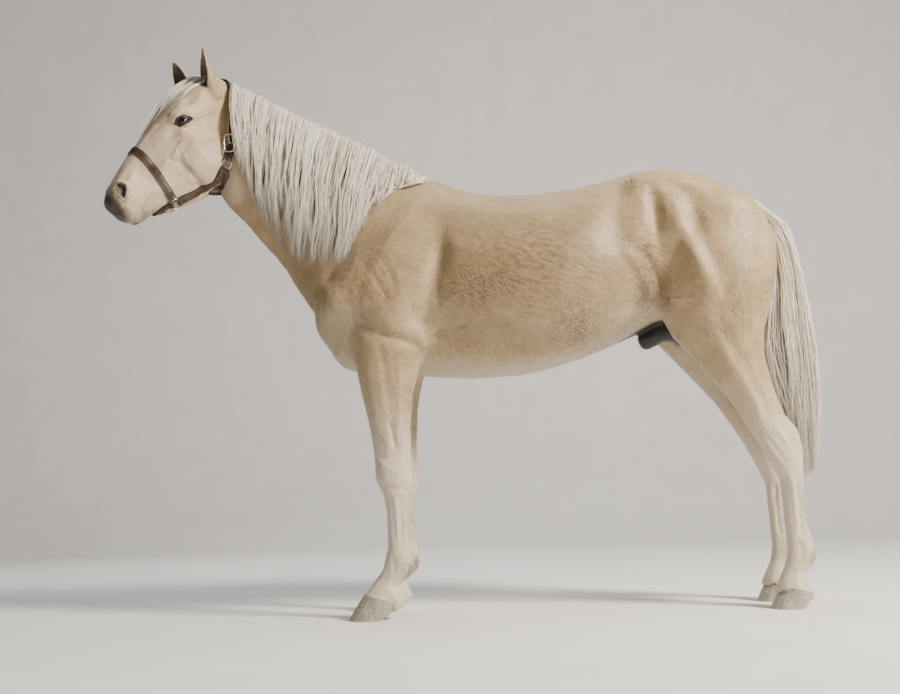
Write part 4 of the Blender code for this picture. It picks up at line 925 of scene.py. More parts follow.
nearSheath = ((points > sheathLow - 0.05) & (points < sheathHigh + (0.10, 0.05, 0.05))).all(axis=1)
points = evenedNear(points, skinEdges, nearSheath, 26, 0.3)
breast = np.linalg.norm((points - bodyPoint(-0.53, 0, 1.13)) / (0.13, 0.16, 0.12), axis=1) < 1
points = evenedNear(points, skinEdges, breast, 70, 0.4)
for word in ("left", "right"):
    root, tip, along, opening, across = earAxes(word)
    low = (points - root) @ along
    atBase = (np.linalg.norm(points - root, axis=1) < 0.075) & (low < 0.020) & (low > -0.07)
    points = evenedNear(points, skinEdges, atBase, 24, 0.2)
setPoints(skin.data, points)
print("skin:", len(points), "points")


def splitNear(thing, wanted):  # one cut across every edge of the faces whose corners are all wanted
    work = bmesh.new()
    work.from_mesh(thing.data)
    work.verts.ensure_lookup_table()
    chosen = [e for e in work.edges if wanted[e.verts[0].index] and wanted[e.verts[1].index]]
    bmesh.ops.subdivide_edges(work, edges=chosen, cuts=1, use_grid_fill=True)
    bmesh.ops.triangulate(work, faces=[f for f in work.faces if len(f.verts) > 4])
    work.to_mesh(thing.data)
    work.free()


def featureDistance(points):
    found = np.full(len(points), 9.0)
    for word, centre in eyeCentres.items():
        found = np.minimum(found, np.linalg.norm(points - centre, axis=1))
        side = 1 if word == "left" else -1
        t0, n0, l0 = nostrilForm["at"]
        found = np.minimum(found, np.linalg.norm(points - facePoint(t0, n0, side * l0), axis=1) + 0.004)
    return found


splitNear(skin, featureDistance(pointsOf(skin.data)) < skinForm["finer"])
points = pointsOf(skin.data)
points = points - normalsOf(skin.data) * skinForm["coatDepth"] * np.where(
    faceCoords(points)[:, 0] > 0.05, np.where(points[:, 0] - origin[0] < -0.75, 0.4, 1.0), 1.0)[:, None]
setPoints(skin.data, points)
normals = normalsOf(skin.data)
lift = np.zeros(len(points))
body = {"at": points - origin, "side": 1}
swellBy(body, bodyForms, lift)
lineBy(body, bodyLines, lift)
headOnly = np.flatnonzero((points[:, 0] - origin[0] < -0.80) & (points[:, 2] > 1.15))
head = {"at": faceCoords(points[headOnly]), "side": 2}
headLift = np.zeros(len(headOnly))
swellBy(head, headForms, headLift)
lineBy(head, headLines, headLift)
lift[headOnly] += headLift
points += normals * lift[:, None]
face = faceCoords(points)
shapeNostrils(points, face)
shapeLids(points)
setPoints(skin.data, points)
group = skin.vertex_groups.new(name="detail")
near = featureDistance(points)
weight = 1 - 0.85 * ramp(near, 0.10, 0.04)
weight = np.minimum(weight, np.where((points[:, 0] - origin[0] < -0.80) & (points[:, 2] > 1.25), 0.5, 1.0))
for level in np.unique(np.round(weight, 1)):
    group.add(np.flatnonzero(np.round(weight, 1) == level).tolist(), float(level), "REPLACE")
thin = skin.modifiers.new("thin", "DECIMATE")
skin.data.update()
faceCount = sum(len(p.vertices) - 2 for p in skin.data.polygons)
thin.ratio = skinForm["triangles"] / faceCount
thin.vertex_group = "detail"
thin.vertex_group_factor = 1.0
bpy.context.view_layer.update()
skin = applied(skin)
skin.vertex_groups.clear()
skin.name = "skin"
setPoints(skin.data, withinBox(pointsOf(skin.data), boxMargin["skin"]))
skin.data.materials.clear()
skin.data.materials.append(coatMaterial())
skin.data.shade_smooth()
setColour(skin.data, "markings", markingsAndShadeAt(pointsOf(skin.data)))
setColour(skin.data, "lie", lieAt(pointsOf(skin.data)))
print("skin:", sum(len(p.vertices) - 2 for p in skin.data.polygons), "triangles")


def treeOf(thing):
    return BVHTree.FromPolygons(pointsOf(thing.data).tolist(), trianglesOf(thing.data).tolist())


skinTree = treeOf(skin)
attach(skin, "root")
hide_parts(*flesh, "sheath", "ear_left", "ear_right")


def hitFrom(tree, start, way, far=0.6):
    found = tree.ray_cast(Vector(start), Vector(way), far)
    return None if found[0] is None else np.array(found[0])


# hair that falls over a form: sheets from the skin out to the solid, and strands that follow them
def outerAndInner(node, starts, ways, fallback):
    tree = treeOf(nodes[node])
    shape = starts.shape
    inner, outer = np.empty(shape), np.empty(shape)
    for index in np.ndindex(shape[:-1]):
        way = ways[index]
        low = hitFrom(skinTree, starts[index], way)
        high = hitFrom(tree, starts[index], way)
        if low is None:
            low = high if high is not None else starts[index] + way * 0.3
        if high is None or (high - low) @ way > 0:
            high = low - way * fallback
        inner[index], outer[index] = low, high
    return inner, outer


def evenSheet(sheet, rounds):
    for step in range(rounds):
        padded = np.pad(sheet, ((1, 1), (1, 1), (0, 0)), mode="edge")
        sheet = (padded[:-2, 1:-1] + padded[2:, 1:-1] + padded[1:-1, :-2] + padded[1:-1, 2:] + 2 * sheet) / 6
    return sheet


def onSheet(sheet, u, v):  # u, v from 0 to 1, in arrays of one shape
    rows, columns = sheet.shape[:2]
    a = np.clip(u, 0, 1) * (rows - 1)
    b = np.clip(v, 0, 1) * (columns - 1)
    i, j = np.minimum(a.astype(int), rows - 2), np.minimum(b.astype(int), columns - 2)
    p, q = (a - i)[..., None], (b - j)[..., None]
    return ((1 - p) * (1 - q) * sheet[i, j] + p * (1 - q) * sheet[i + 1, j] + (1 - p) * q * sheet[i, j + 1]
            + p * q * sheet[i + 1, j + 1])


bakePatch = 0.003  # the side of one strand's or tuft's place on the map


def setPlaces(mesh, places, faces):
    layer = mesh.uv_layers.new(name="OFBake")
    layer.data.foreach_set("uv", places.reshape(-1, 2)[faces.ravel()].astype(np.float32).ravel())


def strandsAlong(name, paths, outward, widths, flatness, colours, material):
    # paths (count, rows, 3); outward the same; widths (count, rows); colours (count, rows, 3)
    count, rows = widths.shape
    along = unit(np.gradient(paths, axis=1))
    side = unit(np.cross(along, outward))
    up = np.cross(side, along)
    ring = np.stack((paths - side * widths[..., None] / 2 - up * widths[..., None] * flatness / 3,
                     paths + side * widths[..., None] / 2 - up * widths[..., None] * flatness / 3,
                     paths + up * widths[..., None] * flatness * 2 / 3), axis=2)
    points = ring.reshape(-1, 3)
    start = (np.arange(count) * rows * 3)[:, None, None, None]
    i = (np.arange(rows - 1) * 3)[None, :, None, None]
    j = np.arange(3)[None, None, :, None]
    k = (j + 1) % 3
    quads = np.concatenate((start + i + j, start + i + k, start + i + 3 + k, start + i + 3 + j), axis=3).reshape(-1, 4)
    first = start.reshape(-1, 1)
    caps = np.concatenate((np.hstack((first + 2, first + 1, first)),
                           np.hstack((first + 3 * rows - 3, first + 3 * rows - 2, first + 3 * rows - 1))))
    triangles = np.concatenate((quads[:, (0, 1, 2)], quads[:, (0, 2, 3)], caps))
    corners = points[triangles]
    volume = np.einsum("ij,ij->i", corners[:, 0], np.cross(corners[:, 1], corners[:, 2])).sum()
    if volume < 0:
        triangles = triangles[:, ::-1]
    made = quickMesh(name, points, triangles, material)
    setColour(made.data, "markings", np.repeat(colours.reshape(-1, 3), 3, axis=0))
    down, sideways = (np.arange(rows) / (rows - 1) - 0.5)[:, None], (np.arange(3) / 2 - 0.5)[None]
    inPatch = np.stack(np.broadcast_arrays(down, sideways), axis=2)
    setPlaces(made.data, unwrapAt(paths[:, 0])[:, None, None] + inPatch[None] * bakePatch, triangles)
    return made


# an unwrap of the skin's own shape, for the places of tufts and strands
plain = linked("plain_skin", skin.data.copy())
fewer = plain.modifiers.new("fewer", "DECIMATE")
fewer.ratio = 0.05
plain.modifiers.new("triangles", "TRIANGULATE")
bpy.context.view_layer.update()
plain = applied(plain)
for other in bpy.context.view_layer.objects:
    other.select_set(False)
bpy.context.view_layer.objects.active = plain
plain.select_set(True)
bpy.ops.object.mode_set(mode="EDIT")
bpy.ops.mesh.select_all(action="SELECT")
bpy.ops.uv.smart_project(angle_limit=math.radians(66), island_margin=0.004)
bpy.ops.object.mode_set(mode="OBJECT")
plainPoints = pointsOf(plain.data)
plainFaces = [tuple(p.vertices) for p in plain.data.polygons]
plainMap = np.empty(len(plain.data.loops) * 2, np.float32)
plain.data.uv_layers.active.data.foreach_get("uv", plainMap)
plainMap = plainMap.reshape(-1, 3, 2)
plainTree = BVHTree.FromPolygons(plainPoints.tolist(), plainFaces)
bpy.data.objects.remove(plain)


def unwrapAt(roots):
    found = np.empty((len(roots), 2))
    for i, root in enumerate(roots.tolist()):
        place, normal, index, away = plainTree.find_nearest(Vector(root))
        a, b, c = plainPoints[list(plainFaces[index])]
        e, f, g = b - a, c - a, np.array(place) - a
        ee, ef, ff, ge, gf = e @ e, e @ f, f @ f, g @ e, g @ f
        size = ee * ff - ef * ef + 1e-18
        q, r = (ff * ge - ef * gf) / size, (ee * gf - ef * ge) / size
        found[i] = plainMap[index][0] * (1 - q - r) + plainMap[index][1] * q + plainMap[index][2] * r
    return found


print("hair")
chance = np.random.default_rng(7)
maneForm = {
    "front": -0.794,
    "back": -0.092,
    "far": math.radians(-24),  # strands start this far over the crest on the other side
    "arm": 0.085,
    "ends": (  # x of the root, x and z of the end
        (-0.794, -0.768, 1.600), (-0.740, -0.728, 1.470), (-0.690, -0.692, 1.385), (-0.620, -0.650, 1.310),
        (-0.560, -0.603, 1.245), (-0.480, -0.540, 1.195), (-0.400, -0.470, 1.170), (-0.320, -0.400, 1.185),
        (-0.260, -0.345, 1.270), (-0.200, -0.275, 1.395), (-0.150, -0.205, 1.465), (-0.092, -0.128, 1.505)),
    "columns": 70,
    "rows": 34,
    "arcRows": 9,
    "locks": 118,
    "perLock": 44,
    "strandRows": 14,
    "width": 0.0019,
    "wave": 0.018,
    "lockWidth": 0.0072,
    "ragged": 0.40,  # how much shorter some locks are
    "frayed": 0.012,
    "gather": 0.86,
    "late": 1.7,
    "loose": 0.10,
    "shade": 0.78,
    "thinBack": 0.6,
}


def crestY(x):
    return -0.30 * max(0.0, -0.30 - x) ** 2


def maneSheets():
    ends = catmull(np.array(maneForm["ends"]), 6)
    shares = np.linspace(0, 1, maneForm["columns"])
    rootX = maneForm["front"] + (maneForm["back"] - maneForm["front"]) * shares
    endX, endZ = (np.interp(rootX, ends[:, 0], ends[:, i]) for i in (1, 2))
    starts = np.empty((maneForm["columns"], maneForm["rows"], 3))
    ways = np.empty_like(starts)
    for i, (share, x) in enumerate(zip(shares, rootX)):
        top = hitFrom(skinTree, bodyPoint(x, crestY(x), 2.3), (0, 0, -1), 1.5)[2]
        arm = maneForm["arm"] * (1 - 0.72 * float(ramp(share, 0.82, 1.0)))  # it thins out at the withers
        middle = np.array((x, crestY(x), top - arm))
        arcRows = maneForm["arcRows"]
        for j in range(maneForm["rows"]):
            if j < arcRows:
                angle = maneForm["far"] + (math.pi / 2 - maneForm["far"]) * j / (arcRows - 1)
                way = np.array((0, math.sin(angle), -math.cos(angle)))
                starts[i, j] = origin + middle - way * 0.25
                starts[i, j, 0] += (endX[i] - x) * 0.30 * (j / (arcRows - 1)) ** 2
            else:
                down = (j - arcRows + 1) / (maneForm["rows"] - arcRows)
                way = np.array((0.0, 1.0, 0.0))
                z = middle[2] + (endZ[i] - middle[2]) * down
                lean = x + (endX[i] - x) * (0.30 + 0.70 * down)
                starts[i, j] = bodyPoint(lean, middle[1] - 0.35, z)
            ways[i, j] = way
    inner, outer = outerAndInner("mane", starts, ways, 0.010)
    return evenSheet(inner, 3), evenSheet(outer, 4)


def wavyStrands(form):
    # locks spread along the root line; each strand starts beside its lock's middle and nears it lower down
    locks, wave, spread, raggedness = form["locks"], form["wave"], form["lockWidth"], form["ragged"]
    middle = (np.arange(locks) + 0.5 + chance.uniform(-0.6, 0.6, locks)) / locks
    lockWidth = spread * chance.uniform(0.7, 1.4, locks)
    lockPhase = chance.uniform(0, 2 * math.pi, locks)
    lockRate = chance.uniform(1.2, 2.6, locks)
    lockSize = wave * chance.uniform(0.3, 1.3, locks)
    lockDepth = chance.uniform(0.45, 1.0, locks)
    lockEnd = 1 - raggedness * chance.uniform(0, 1, locks) ** 2
    lockEnd = lockEnd - form.get("thinBack", 0.0) * ramp(middle, 0.80, 1.0) * chance.uniform(0, 1, locks)
    lockTone = chance.uniform(0.35, 1.0, locks)
    lockDrift = chance.normal(0, spread * 1.5, locks)
    index = np.repeat(np.arange(locks), form["perLock"])
    count = len(index)
    offset = chance.normal(0, 0.6, count) * np.where(chance.uniform(0, 1, count) < 0.12, 2.6, 1.0)
    end = np.clip(lockEnd[index] - raggedness * 0.45 * chance.uniform(0, 1, count) ** 2, 0.15, 1.0)
    begin = chance.uniform(0.0, form["startTo"], count) if "startTo" in form else np.zeros(count)
    s = np.linspace(0, 1, form["strandRows"])[None]
    v = begin[:, None] + (end - begin)[:, None] * s
    gather = 1 - form["gather"] * s ** form["late"]
    ownSize, ownRate = chance.normal(0, wave * 0.36, count)[:, None], chance.uniform(1.5, 3.8, count)[:, None]
    ownWave = ownSize * np.sin(2 * math.pi * ownRate * s + chance.uniform(0, 6.3, count)[:, None])
    fray = form["frayed"] * chance.normal(0, 1, count)[:, None] * s**3
    lockWave = lockSize[index, None] * np.sin(2 * math.pi * lockRate[index, None] * v + lockPhase[index, None])
    u = (middle[index, None] + lockDrift[index, None] * s + offset[:, None] * lockWidth[index, None] * gather
         + lockWave * s + ownWave * s + fray)
    depth = np.clip(lockDepth[index] * chance.uniform(0.15, 1.0, count), 0.05, 1)
    isLoose = chance.uniform(0, 1, count) < form["loose"]
    depth = np.where(isLoose, chance.uniform(1.0, 1.45, count), depth)[:, None] * np.ones_like(s)
    # painted shade: strands lying deeper in the hair are darker, fading in below the root
    paintedShade = np.clip(1 - depth, 0, 1) * ramp(s, 0.02, 0.25)
    depth = depth * (0.35 + 0.65 * ramp(s, 0.0, 0.10))
    tone = np.clip(lockTone[index] + chance.normal(0, 0.18, count), 0, 1)
    return u, v, depth, tone, paintedShade


def hairPiece(name, form, inner, outer, flow, material, wrapped=False):
    u, v, depth, tone, paintedShade = flow
    place = u % 1.0 if wrapped else 1 - np.abs(1 - np.abs(u))
    low, high = onSheet(inner, place, v), onSheet(outer, place, v)
    paths = withinBox(low + (high - low) * depth[..., None], boxMargin["hair"])
    outward = unit(high - low + 1e-9)
    rows = u.shape[1]
    s = np.linspace(0, 1, rows)[None]
    taper = np.clip(1.12 - s**1.8, 0.10, 1.0) * (0.55 + 0.45 * ramp(s, 0.0, 0.12))
    widths = form["width"] * chance.uniform(0.6, 1.35, len(u))[:, None] * taper
    # the third colour channel is the painted shade of deep strands, scaled by the form's shade
    colours = np.stack((np.repeat(tone[:, None], rows, 1), np.repeat(s, len(u), 0),
                        np.clip(form["shade"] * paintedShade, 0, 1)), axis=2)
    return strandsAlong(name, paths, outward, widths, 0.55, colours, material)


maneHair = hairMaterial()
maneInner, maneOuter = maneSheets()
flow = wavyStrands(maneForm)
third = len(flow[0]) // 3
hairs = []
for name, pick in (("mane_front", slice(0, third)), ("mane_middle", slice(third, 2 * third)),
                   ("mane_back", slice(2 * third, None))):
    part = hairPiece(name, maneForm, maneInner, maneOuter, tuple(values[pick] for values in flow), maneHair)
    hairs.append((part, "mane"))

forelockForm = {
    "roots": (-0.030, 0.034),  # from the right to the left of the poll
    "spread": (-0.045, 0.078),  # where the ends would lie
    # how far down the face, from its right side to its left
    "reach": ((-1.0, 0.30), (-0.4, 0.375), (0.0, 0.36), (0.35, 0.29), (0.65, 0.235), (1.0, 0.19)),
    "columns": 26,
    "rows": 24,
    "locks": 17,
    "perLock": 58,
    "strandRows": 13,
    "width": 0.0016,
    "wave": 0.040,
    "lockWidth": 0.021,
    "ragged": 0.62,
    "frayed": 0.05,
    "gather": 0.70,
    "late": 1.0,
    "loose": 0.14,
    "shade": 1.1,
}


def forelockSheets():
    across = np.linspace(-1, 1, forelockForm["columns"])
    reach = np.interp(across, *zip(*forelockForm["reach"]))
    share = np.linspace(0, 1, forelockForm["rows"])
    starts = np.empty((len(across), len(share), 3))
    for i, a in enumerate(across):
        root, end = (low + (high - low) * (a + 1) / 2 for low, high in (forelockForm["roots"], forelockForm["spread"]))
        for j, s in enumerate(share):
            left = root + (end - root) * math.sin(min(1.0, 1.3 * s) * math.pi / 2) * (1 - 0.45 * s**2 * (a < 0.3))
            starts[i, j] = facePoint(-0.022 + (reach[i] + 0.022) * s, 0.22, left)
    ways = np.broadcast_to(-faceOut, starts.shape).copy()
    inner, outer = outerAndInner("forelock", starts, ways, 0.007)
    return evenSheet(inner, 2), evenSheet(outer, 3)


lockInner, lockOuter = forelockSheets()
flow = wavyStrands(forelockForm)
hairs.append((hairPiece("forelock_hair", forelockForm, lockInner, lockOuter, flow, maneHair), "forelock"))

tailForm = {
    "middle": ((0.925, 0.0, 1.462), (0.965, 0.0, 1.440), (1.003, 0.0, 1.413), (1.051, 0.0, 1.377),
               (1.102, 0.0, 1.321), (1.121, -0.003, 1.288), (1.133, -0.006, 1.250),
               (1.146, -0.016, 1.140), (1.148, -0.030, 1.000), (1.149, -0.046, 0.860), (1.151, -0.060, 0.720),
               (1.152, -0.072, 0.600), (1.158, -0.078, 0.500), (1.164, -0.080, 0.428)),
    "columns": 33,
    "rows": 44,
    "locks": 84,
    "perLock": 52,
    "strandRows": 15,
    "width": 0.0021,
    "wave": 0.020,
    "lockWidth": 0.030,
    "ragged": 0.52,
    "frayed": 0.07,
    "startTo": 0.26,  # strands start along this share of the dock
    "gather": 0.6,
    "late": 0.8,
    "loose": 0.0,
    "shade": 0.74,
}


def tailSheets():
    path = catmull(np.array(tailForm["middle"]), 8)
    run = runAlong(path)
    at = np.linspace(0, run[-1], tailForm["rows"])
    middle = np.stack([np.interp(at, run, path[:, i]) for i in range(3)], axis=1) + origin
    way = unit(np.gradient(middle, axis=0))
    angles = np.linspace(0, 2 * math.pi, tailForm["columns"])
    tree = treeOf(nodes["tail"])
    inner = np.empty((len(angles), len(middle), 3))
    outer = np.empty_like(inner)
    for j, place in enumerate(middle):
        side = np.array((0.0, 1.0, 0.0))
        up = unit(np.cross(side, way[j]))
        for i, angle in enumerate(angles):
            ray = side * math.cos(angle) + up * math.sin(angle)
            found = hitFrom(tree, place, ray, 0.2)
            outer[i, j] = found if found is not None else place + ray * 0.016
            # fuller than the solid all along, most of all below the dock and towards the loose end
            along = j / len(middle)
            fuller = 1.12 + 0.35 * math.exp(-((along - 0.20) / 0.12) ** 2) + 0.5 * max(0.0, along - 0.65) / 0.35
            fuller += 0.45 * max(0.0, -ray[0]) * math.exp(-((along - 0.60) / 0.30) ** 2)  # it lies against the haunch
            outer[i, j] = place + (outer[i, j] - place) * fuller
            inner[i, j] = place + (outer[i, j] - place) * 0.35
    outer[..., 0] = np.minimum(outer[..., 0], cadBox[1][0] - boxMargin["tail"])
    closing = (outer[0] + outer[-1]) / 2
    outer[0] = outer[-1] = closing
    return inner, outer


tailInner, tailOuter = tailSheets()
flow = wavyStrands(tailForm)
half = len(flow[0]) // 2
for name, pick in (("tail_hair_left", slice(0, half)), ("tail_hair_right", slice(half, None))):
    part = hairPiece(name, tailForm, tailInner, tailOuter, tuple(values[pick] for values in flow), maneHair, True)
    hairs.append((part, "tail"))


# tufts of the short coat: small and flat over the body, longer where it is shaggy
def onHeadAt(points, face):  # 1 on the head, 0 behind the poll
    x, y, z = (points - origin).T
    return ramp(face[:, 0], 0.0, 0.06) * (x < -0.75) * (z > 1.2)


def lieOf(points, normals):  # the way the hair points, lying on the skin
    x, y, z = (points - origin).T
    face = faceCoords(points)
    onHead = onHeadAt(points, face)[:, None]
    trunk, sloping, rump, hanging = np.array(((0.93, 0, -0.36), (0.50, 0, -0.86), (0.42, 0, -0.90), (0.08, 0, -1.0)))
    toNeck, toRump = ramp(x, -0.05, -0.35)[:, None], ramp(x, 0.66, 0.92)[:, None]
    toLegs = ramp(z, 0.98, 0.80)[:, None]
    way = trunk * (1 - toNeck) + sloping * toNeck
    way = way * (1 - toRump) + rump * toRump
    way = way * (1 - toLegs) + hanging * toLegs
    cheek = ramp(face[:, 1], 0.0, -0.12)[:, None]
    down = faceDown * (1 - 0.5 * cheek) - faceOut * 0.75 * cheek
    way = way * (1 - onHead) + down * onHead
    return unit(way - normals * np.einsum("ij,ij->i", way, normals)[:, None])


tuftForm = {
    "short": 94000,
    "long": 9000,
    "places": {  # middle on the left side; radii; how much denser; length in mm; lift as a share of the length
        "bellyLine": ((0.150, 0.06, 0.900), (0.34, 0.14, 0.045), 5.0, 15, 0.22),
        "elbowClumps": ((0.070, 0.24, 1.085), (0.11, 0.14, 0.05), 7.0, 17, 0.20),
        "flankClumps": ((0.400, 0.22, 0.950), (0.10, 0.18, 0.06), 7.0, 17, 0.20),
        "flankFold": ((0.625, 0.20, 1.080), (0.05, 0.12, 0.09), 5.0, 16, 0.22),
        "throat": ((-0.800, 0.03, 1.480), (0.07, 0.09, 0.14), 4.0, 13, 0.20),
        "underNeck": ((-0.640, 0.03, 1.230), (0.12, 0.06, 0.14), 3.0, 12, 0.18),
        "chest": ((-0.500, 0.06, 1.030), (0.07, 0.16, 0.12), 3.5, 13, 0.20),
        "backOfArm": ((-0.175, 0.13, 0.700), (0.04, 0.07, 0.16), 4.5, 13, 0.22),
        "backOfForeCannon": ((-0.185, 0.125, 0.330), (0.03, 0.06, 0.13), 8.0, 12, 0.25),
        "foreFetlock": ((-0.185, 0.125, 0.165), (0.035, 0.06, 0.04), 12.0, 17, 0.24),
        "foreCoronet": ((-0.285, 0.125, 0.075), (0.10, 0.10, 0.022), 10.0, 7, 0.12),
        "hindFetlock": ((1.150, 0.125, 0.165), (0.035, 0.06, 0.04), 12.0, 17, 0.24),
        "hindCoronet": ((1.085, 0.125, 0.070), (0.09, 0.10, 0.022), 10.0, 7, 0.12),
        "backOfHindCannon": ((1.125, 0.125, 0.330), (0.03, 0.06, 0.13), 8.0, 12, 0.25),
        "buttock": ((1.010, 0.10, 1.050), (0.06, 0.14, 0.16), 4.0, 14, 0.20),
        "innerGaskin": ((0.960, 0.08, 0.800), (0.10, 0.05, 0.12), 3.0, 13, 0.20),
        "croup": ((0.850, 0.05, 1.490), (0.16, 0.10, 0.05), 3.0, 12, 0.18),
        "hipPoint": ((0.600, 0.20, 1.440), (0.04, 0.08, 0.05), 6.0, 18, 0.25),
        "withers": ((-0.080, 0.05, 1.500), (0.10, 0.09, 0.05), 2.5, 13, 0.18),
    },
}


def tuftTable(points):  # density, length and lift at each place, and how shaggy it is
    x, y, z = (points - origin).T
    face = faceCoords(points)
    onHead = onHeadAt(points, face)
    low = ramp(z, 0.90, 0.45)
    length = (12.0 * (1 - low) + 7.0 * low) * (1 - onHead) + 5.0 * onHead
    density = 1.0 + 1.2 * low + 2.4 * onHead
    lift = 0.14 + 0 * x
    special = np.zeros(len(points))
    for middle, radii, more, long, rise in tuftForm["places"].values():
        share = bump3(points, middle, radii)
        density += more * share
        length = length * (1 - share) + long * share
        lift = lift * (1 - share) + rise * share
        special = np.maximum(special, share * (more > 3))
    chin = onHead * ramp(face[:, 0], 0.46, 0.54) * ramp(face[:, 1], -0.12, -0.16)
    density += 5 * chin
    length = length * (1 - chin) + 9 * chin
    special = np.maximum(special, 0.7 * chin)
    ears = onHead * ramp(z, 1.84, 1.86)
    density += 5 * ears
    eyes = np.minimum(*(np.linalg.norm(points - centre, axis=1) for centre in eyeCentres.values()))
    bare = ramp(eyes, 0.030, 0.040) * (1 - 0.9 * onHead * ramp(face[:, 0], 0.56, 0.60))
    bare *= 1 - 0.85 * markingsAndShadeAt(points)[:, 1] * (np.abs(x - 0.65) < 0.25)
    return density * bare, length / 1000, lift, special


def rootsOn(count, weightFrom):  # seeded places spread over the skin, with their normals
    triangles = trianglesOf(skin.data)
    corners = pointsOf(skin.data)[triangles]
    turned = normalsOf(skin.data)[triangles]
    area = np.linalg.norm(np.cross(corners[:, 1] - corners[:, 0], corners[:, 2] - corners[:, 0]), axis=1) / 2
    weight = area * weightFrom(corners.mean(axis=1))
    total = np.cumsum(weight) / weight.sum()
    chosen = np.searchsorted(total, (np.arange(count) + chance.uniform(0, 1, count)) / count).clip(0, len(area) - 1)
    q, r = chance.uniform(0, 1, (2, count))
    fold = q + r > 1
    q, r = np.where(fold, 1 - q, q), np.where(fold, 1 - r, r)
    share = np.stack((1 - q - r, q, r), axis=1)[..., None]
    order = chance.permutation(count)
    return (corners[chosen] * share).sum(axis=1)[order], unit((turned[chosen] * share).sum(axis=1))[order]


def tuftColours(roots):
    marks = markingsAndShadeAt(roots)
    # tufts darker where the gold is deeper: partly coat tone, partly painted shade
    tone = np.clip(0.62 + chance.normal(0, 0.22, len(roots)) - 0.45 * lieAt(roots)[:, 2], 0, 1)
    return np.stack((marks[:, 0], marks[:, 1] * 0.85, tone), axis=1)


def shortTufts(name, roots, normals):  # each a thin spike with three sides, lying on the skin
    length, lift = tuftTable(roots)[1:3]
    count = len(roots)
    way = lieOf(roots, normals)
    side = np.cross(normals, way)
    swing = chance.normal(0, 0.22, count)[:, None]
    way = unit(way + side * swing)
    side = np.cross(normals, way)
    size = (length * chance.uniform(0.6, 1.25, count))[:, None]
    wide = size * 0.105
    root = roots - normals * 0.0006 - way * size * 0.15
    tip = root + way * size + normals * (0.0008 + size * lift[:, None] * chance.uniform(0.4, 1.1, count)[:, None])
    ridge = root + normals * 0.0012 + way * size * 0.35
    points = np.stack((root - side * wide / 2, root + side * wide / 2, ridge, tip), axis=1).reshape(-1, 3)
    points = withinBox(points, boxMargin["tufts"], 0.0003)
    start = (np.arange(count) * 4)[:, None, None]
    faces = (start + np.array(((0, 1, 2), (0, 2, 3), (2, 1, 3), (1, 0, 3)))[None]).reshape(-1, 3)
    corners = points[faces[:4]]
    middle = points[:4].mean(axis=0)
    facing = np.cross(corners[0, 1] - corners[0, 0], corners[0, 2] - corners[0, 0])
    if facing @ (corners[0].mean(axis=0) - middle) < 0:
        faces = faces[:, ::-1]
    made = quickMesh(name, points, faces, tuftLook)
    setColour(made.data, "markings", np.repeat(tuftColours(roots), 4, axis=0))
    inPatch = np.array(((-0.5, -0.5), (0.5, -0.5), (0.0, 0.0), (0.0, 0.5)))[None]
    setPlaces(made.data, unwrapAt(roots)[:, None] + bakePatch * inPatch, faces)
    return made


def longTufts(name, roots, normals):  # bent locks of a few hairs, where the coat is shaggy
    length, lift = tuftTable(roots)[1:3]
    count = len(roots)
    way = lieOf(roots, normals)
    way = unit(way + np.cross(normals, way) * chance.normal(0, 0.25, count)[:, None])
    size = (length * chance.uniform(0.8, 1.5, count))[:, None, None]
    s = np.array((0.0, 0.5, 1.0))[None, :, None]
    rise = (lift * chance.uniform(0.5, 1.2, count))[:, None, None]
    paths = ((roots - normals * 0.0008)[:, None] + way[:, None] * size * s
             + normals[:, None] * size * rise * (1.6 * s - 0.6 * s**2))
    paths[..., 2] -= (size * 0.18 * s**2)[..., 0]
    outward = np.repeat(normals[:, None], 3, axis=1)
    widths = size[..., 0] * 0.085 * np.array((1.0, 0.8, 0.12))[None]
    colours = np.repeat(tuftColours(roots)[:, None], 3, axis=1)
    return strandsAlong(name, paths, outward, widths, 0.5, colours, tuftLook)


tuftLook = tuftMaterial()
scale = 1.0
roots, normals = rootsOn(int(tuftForm["short"] * scale), lambda points: tuftTable(points)[0])
half = len(roots) // 2
tufts = [shortTufts("coat_tufts_a", roots[:half], normals[:half]),
         shortTufts("coat_tufts_b", roots[half:], normals[half:])]
roots, normals = rootsOn(int(tuftForm["long"] * scale), lambda points: tuftTable(points)[0] * tuftTable(points)[3])
tufts.append(longTufts("coat_locks", roots, normals))
for part in tufts:
    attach(part, "root")
print("tufts:", sum(len(part.data.polygons) for part in tufts), "triangles")
for part, node in hairs:
    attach(part, "root")
    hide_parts(node)
print("hair:", sum(len(part.data.polygons) for part, node in hairs), "triangles")


# eyes
eyeColours = {"dark": "#120a06", "brown": "#26160c", "pupil": "#050506", "white": "#5b4a40"}


def eyeMaterial():
    # Wet cornea over a very dark brown iris: a sharp glint on near black.
    made, tree, shader = newMaterial("wet_eye", {"Roughness": 0.12, "Coat Weight": 0.6, "Coat Roughness": 0.03,
                                                 "IOR": 1.38})
    white, pupil = channelsOf(tree, "markings")[:2]
    place = objectPlace(tree)
    flecks = noiseOn(tree, place, 700)
    base = mixColours(tree, remap(tree, flecks, 0.3, 0.7), eyeColours["dark"], eyeColours["brown"])
    base = mixColours(tree, pupil, base, eyeColours["pupil"])
    base = mixColours(tree, white, base, eyeColours["white"])
    tree.links.new(base, shader.inputs["Base Color"])
    return made


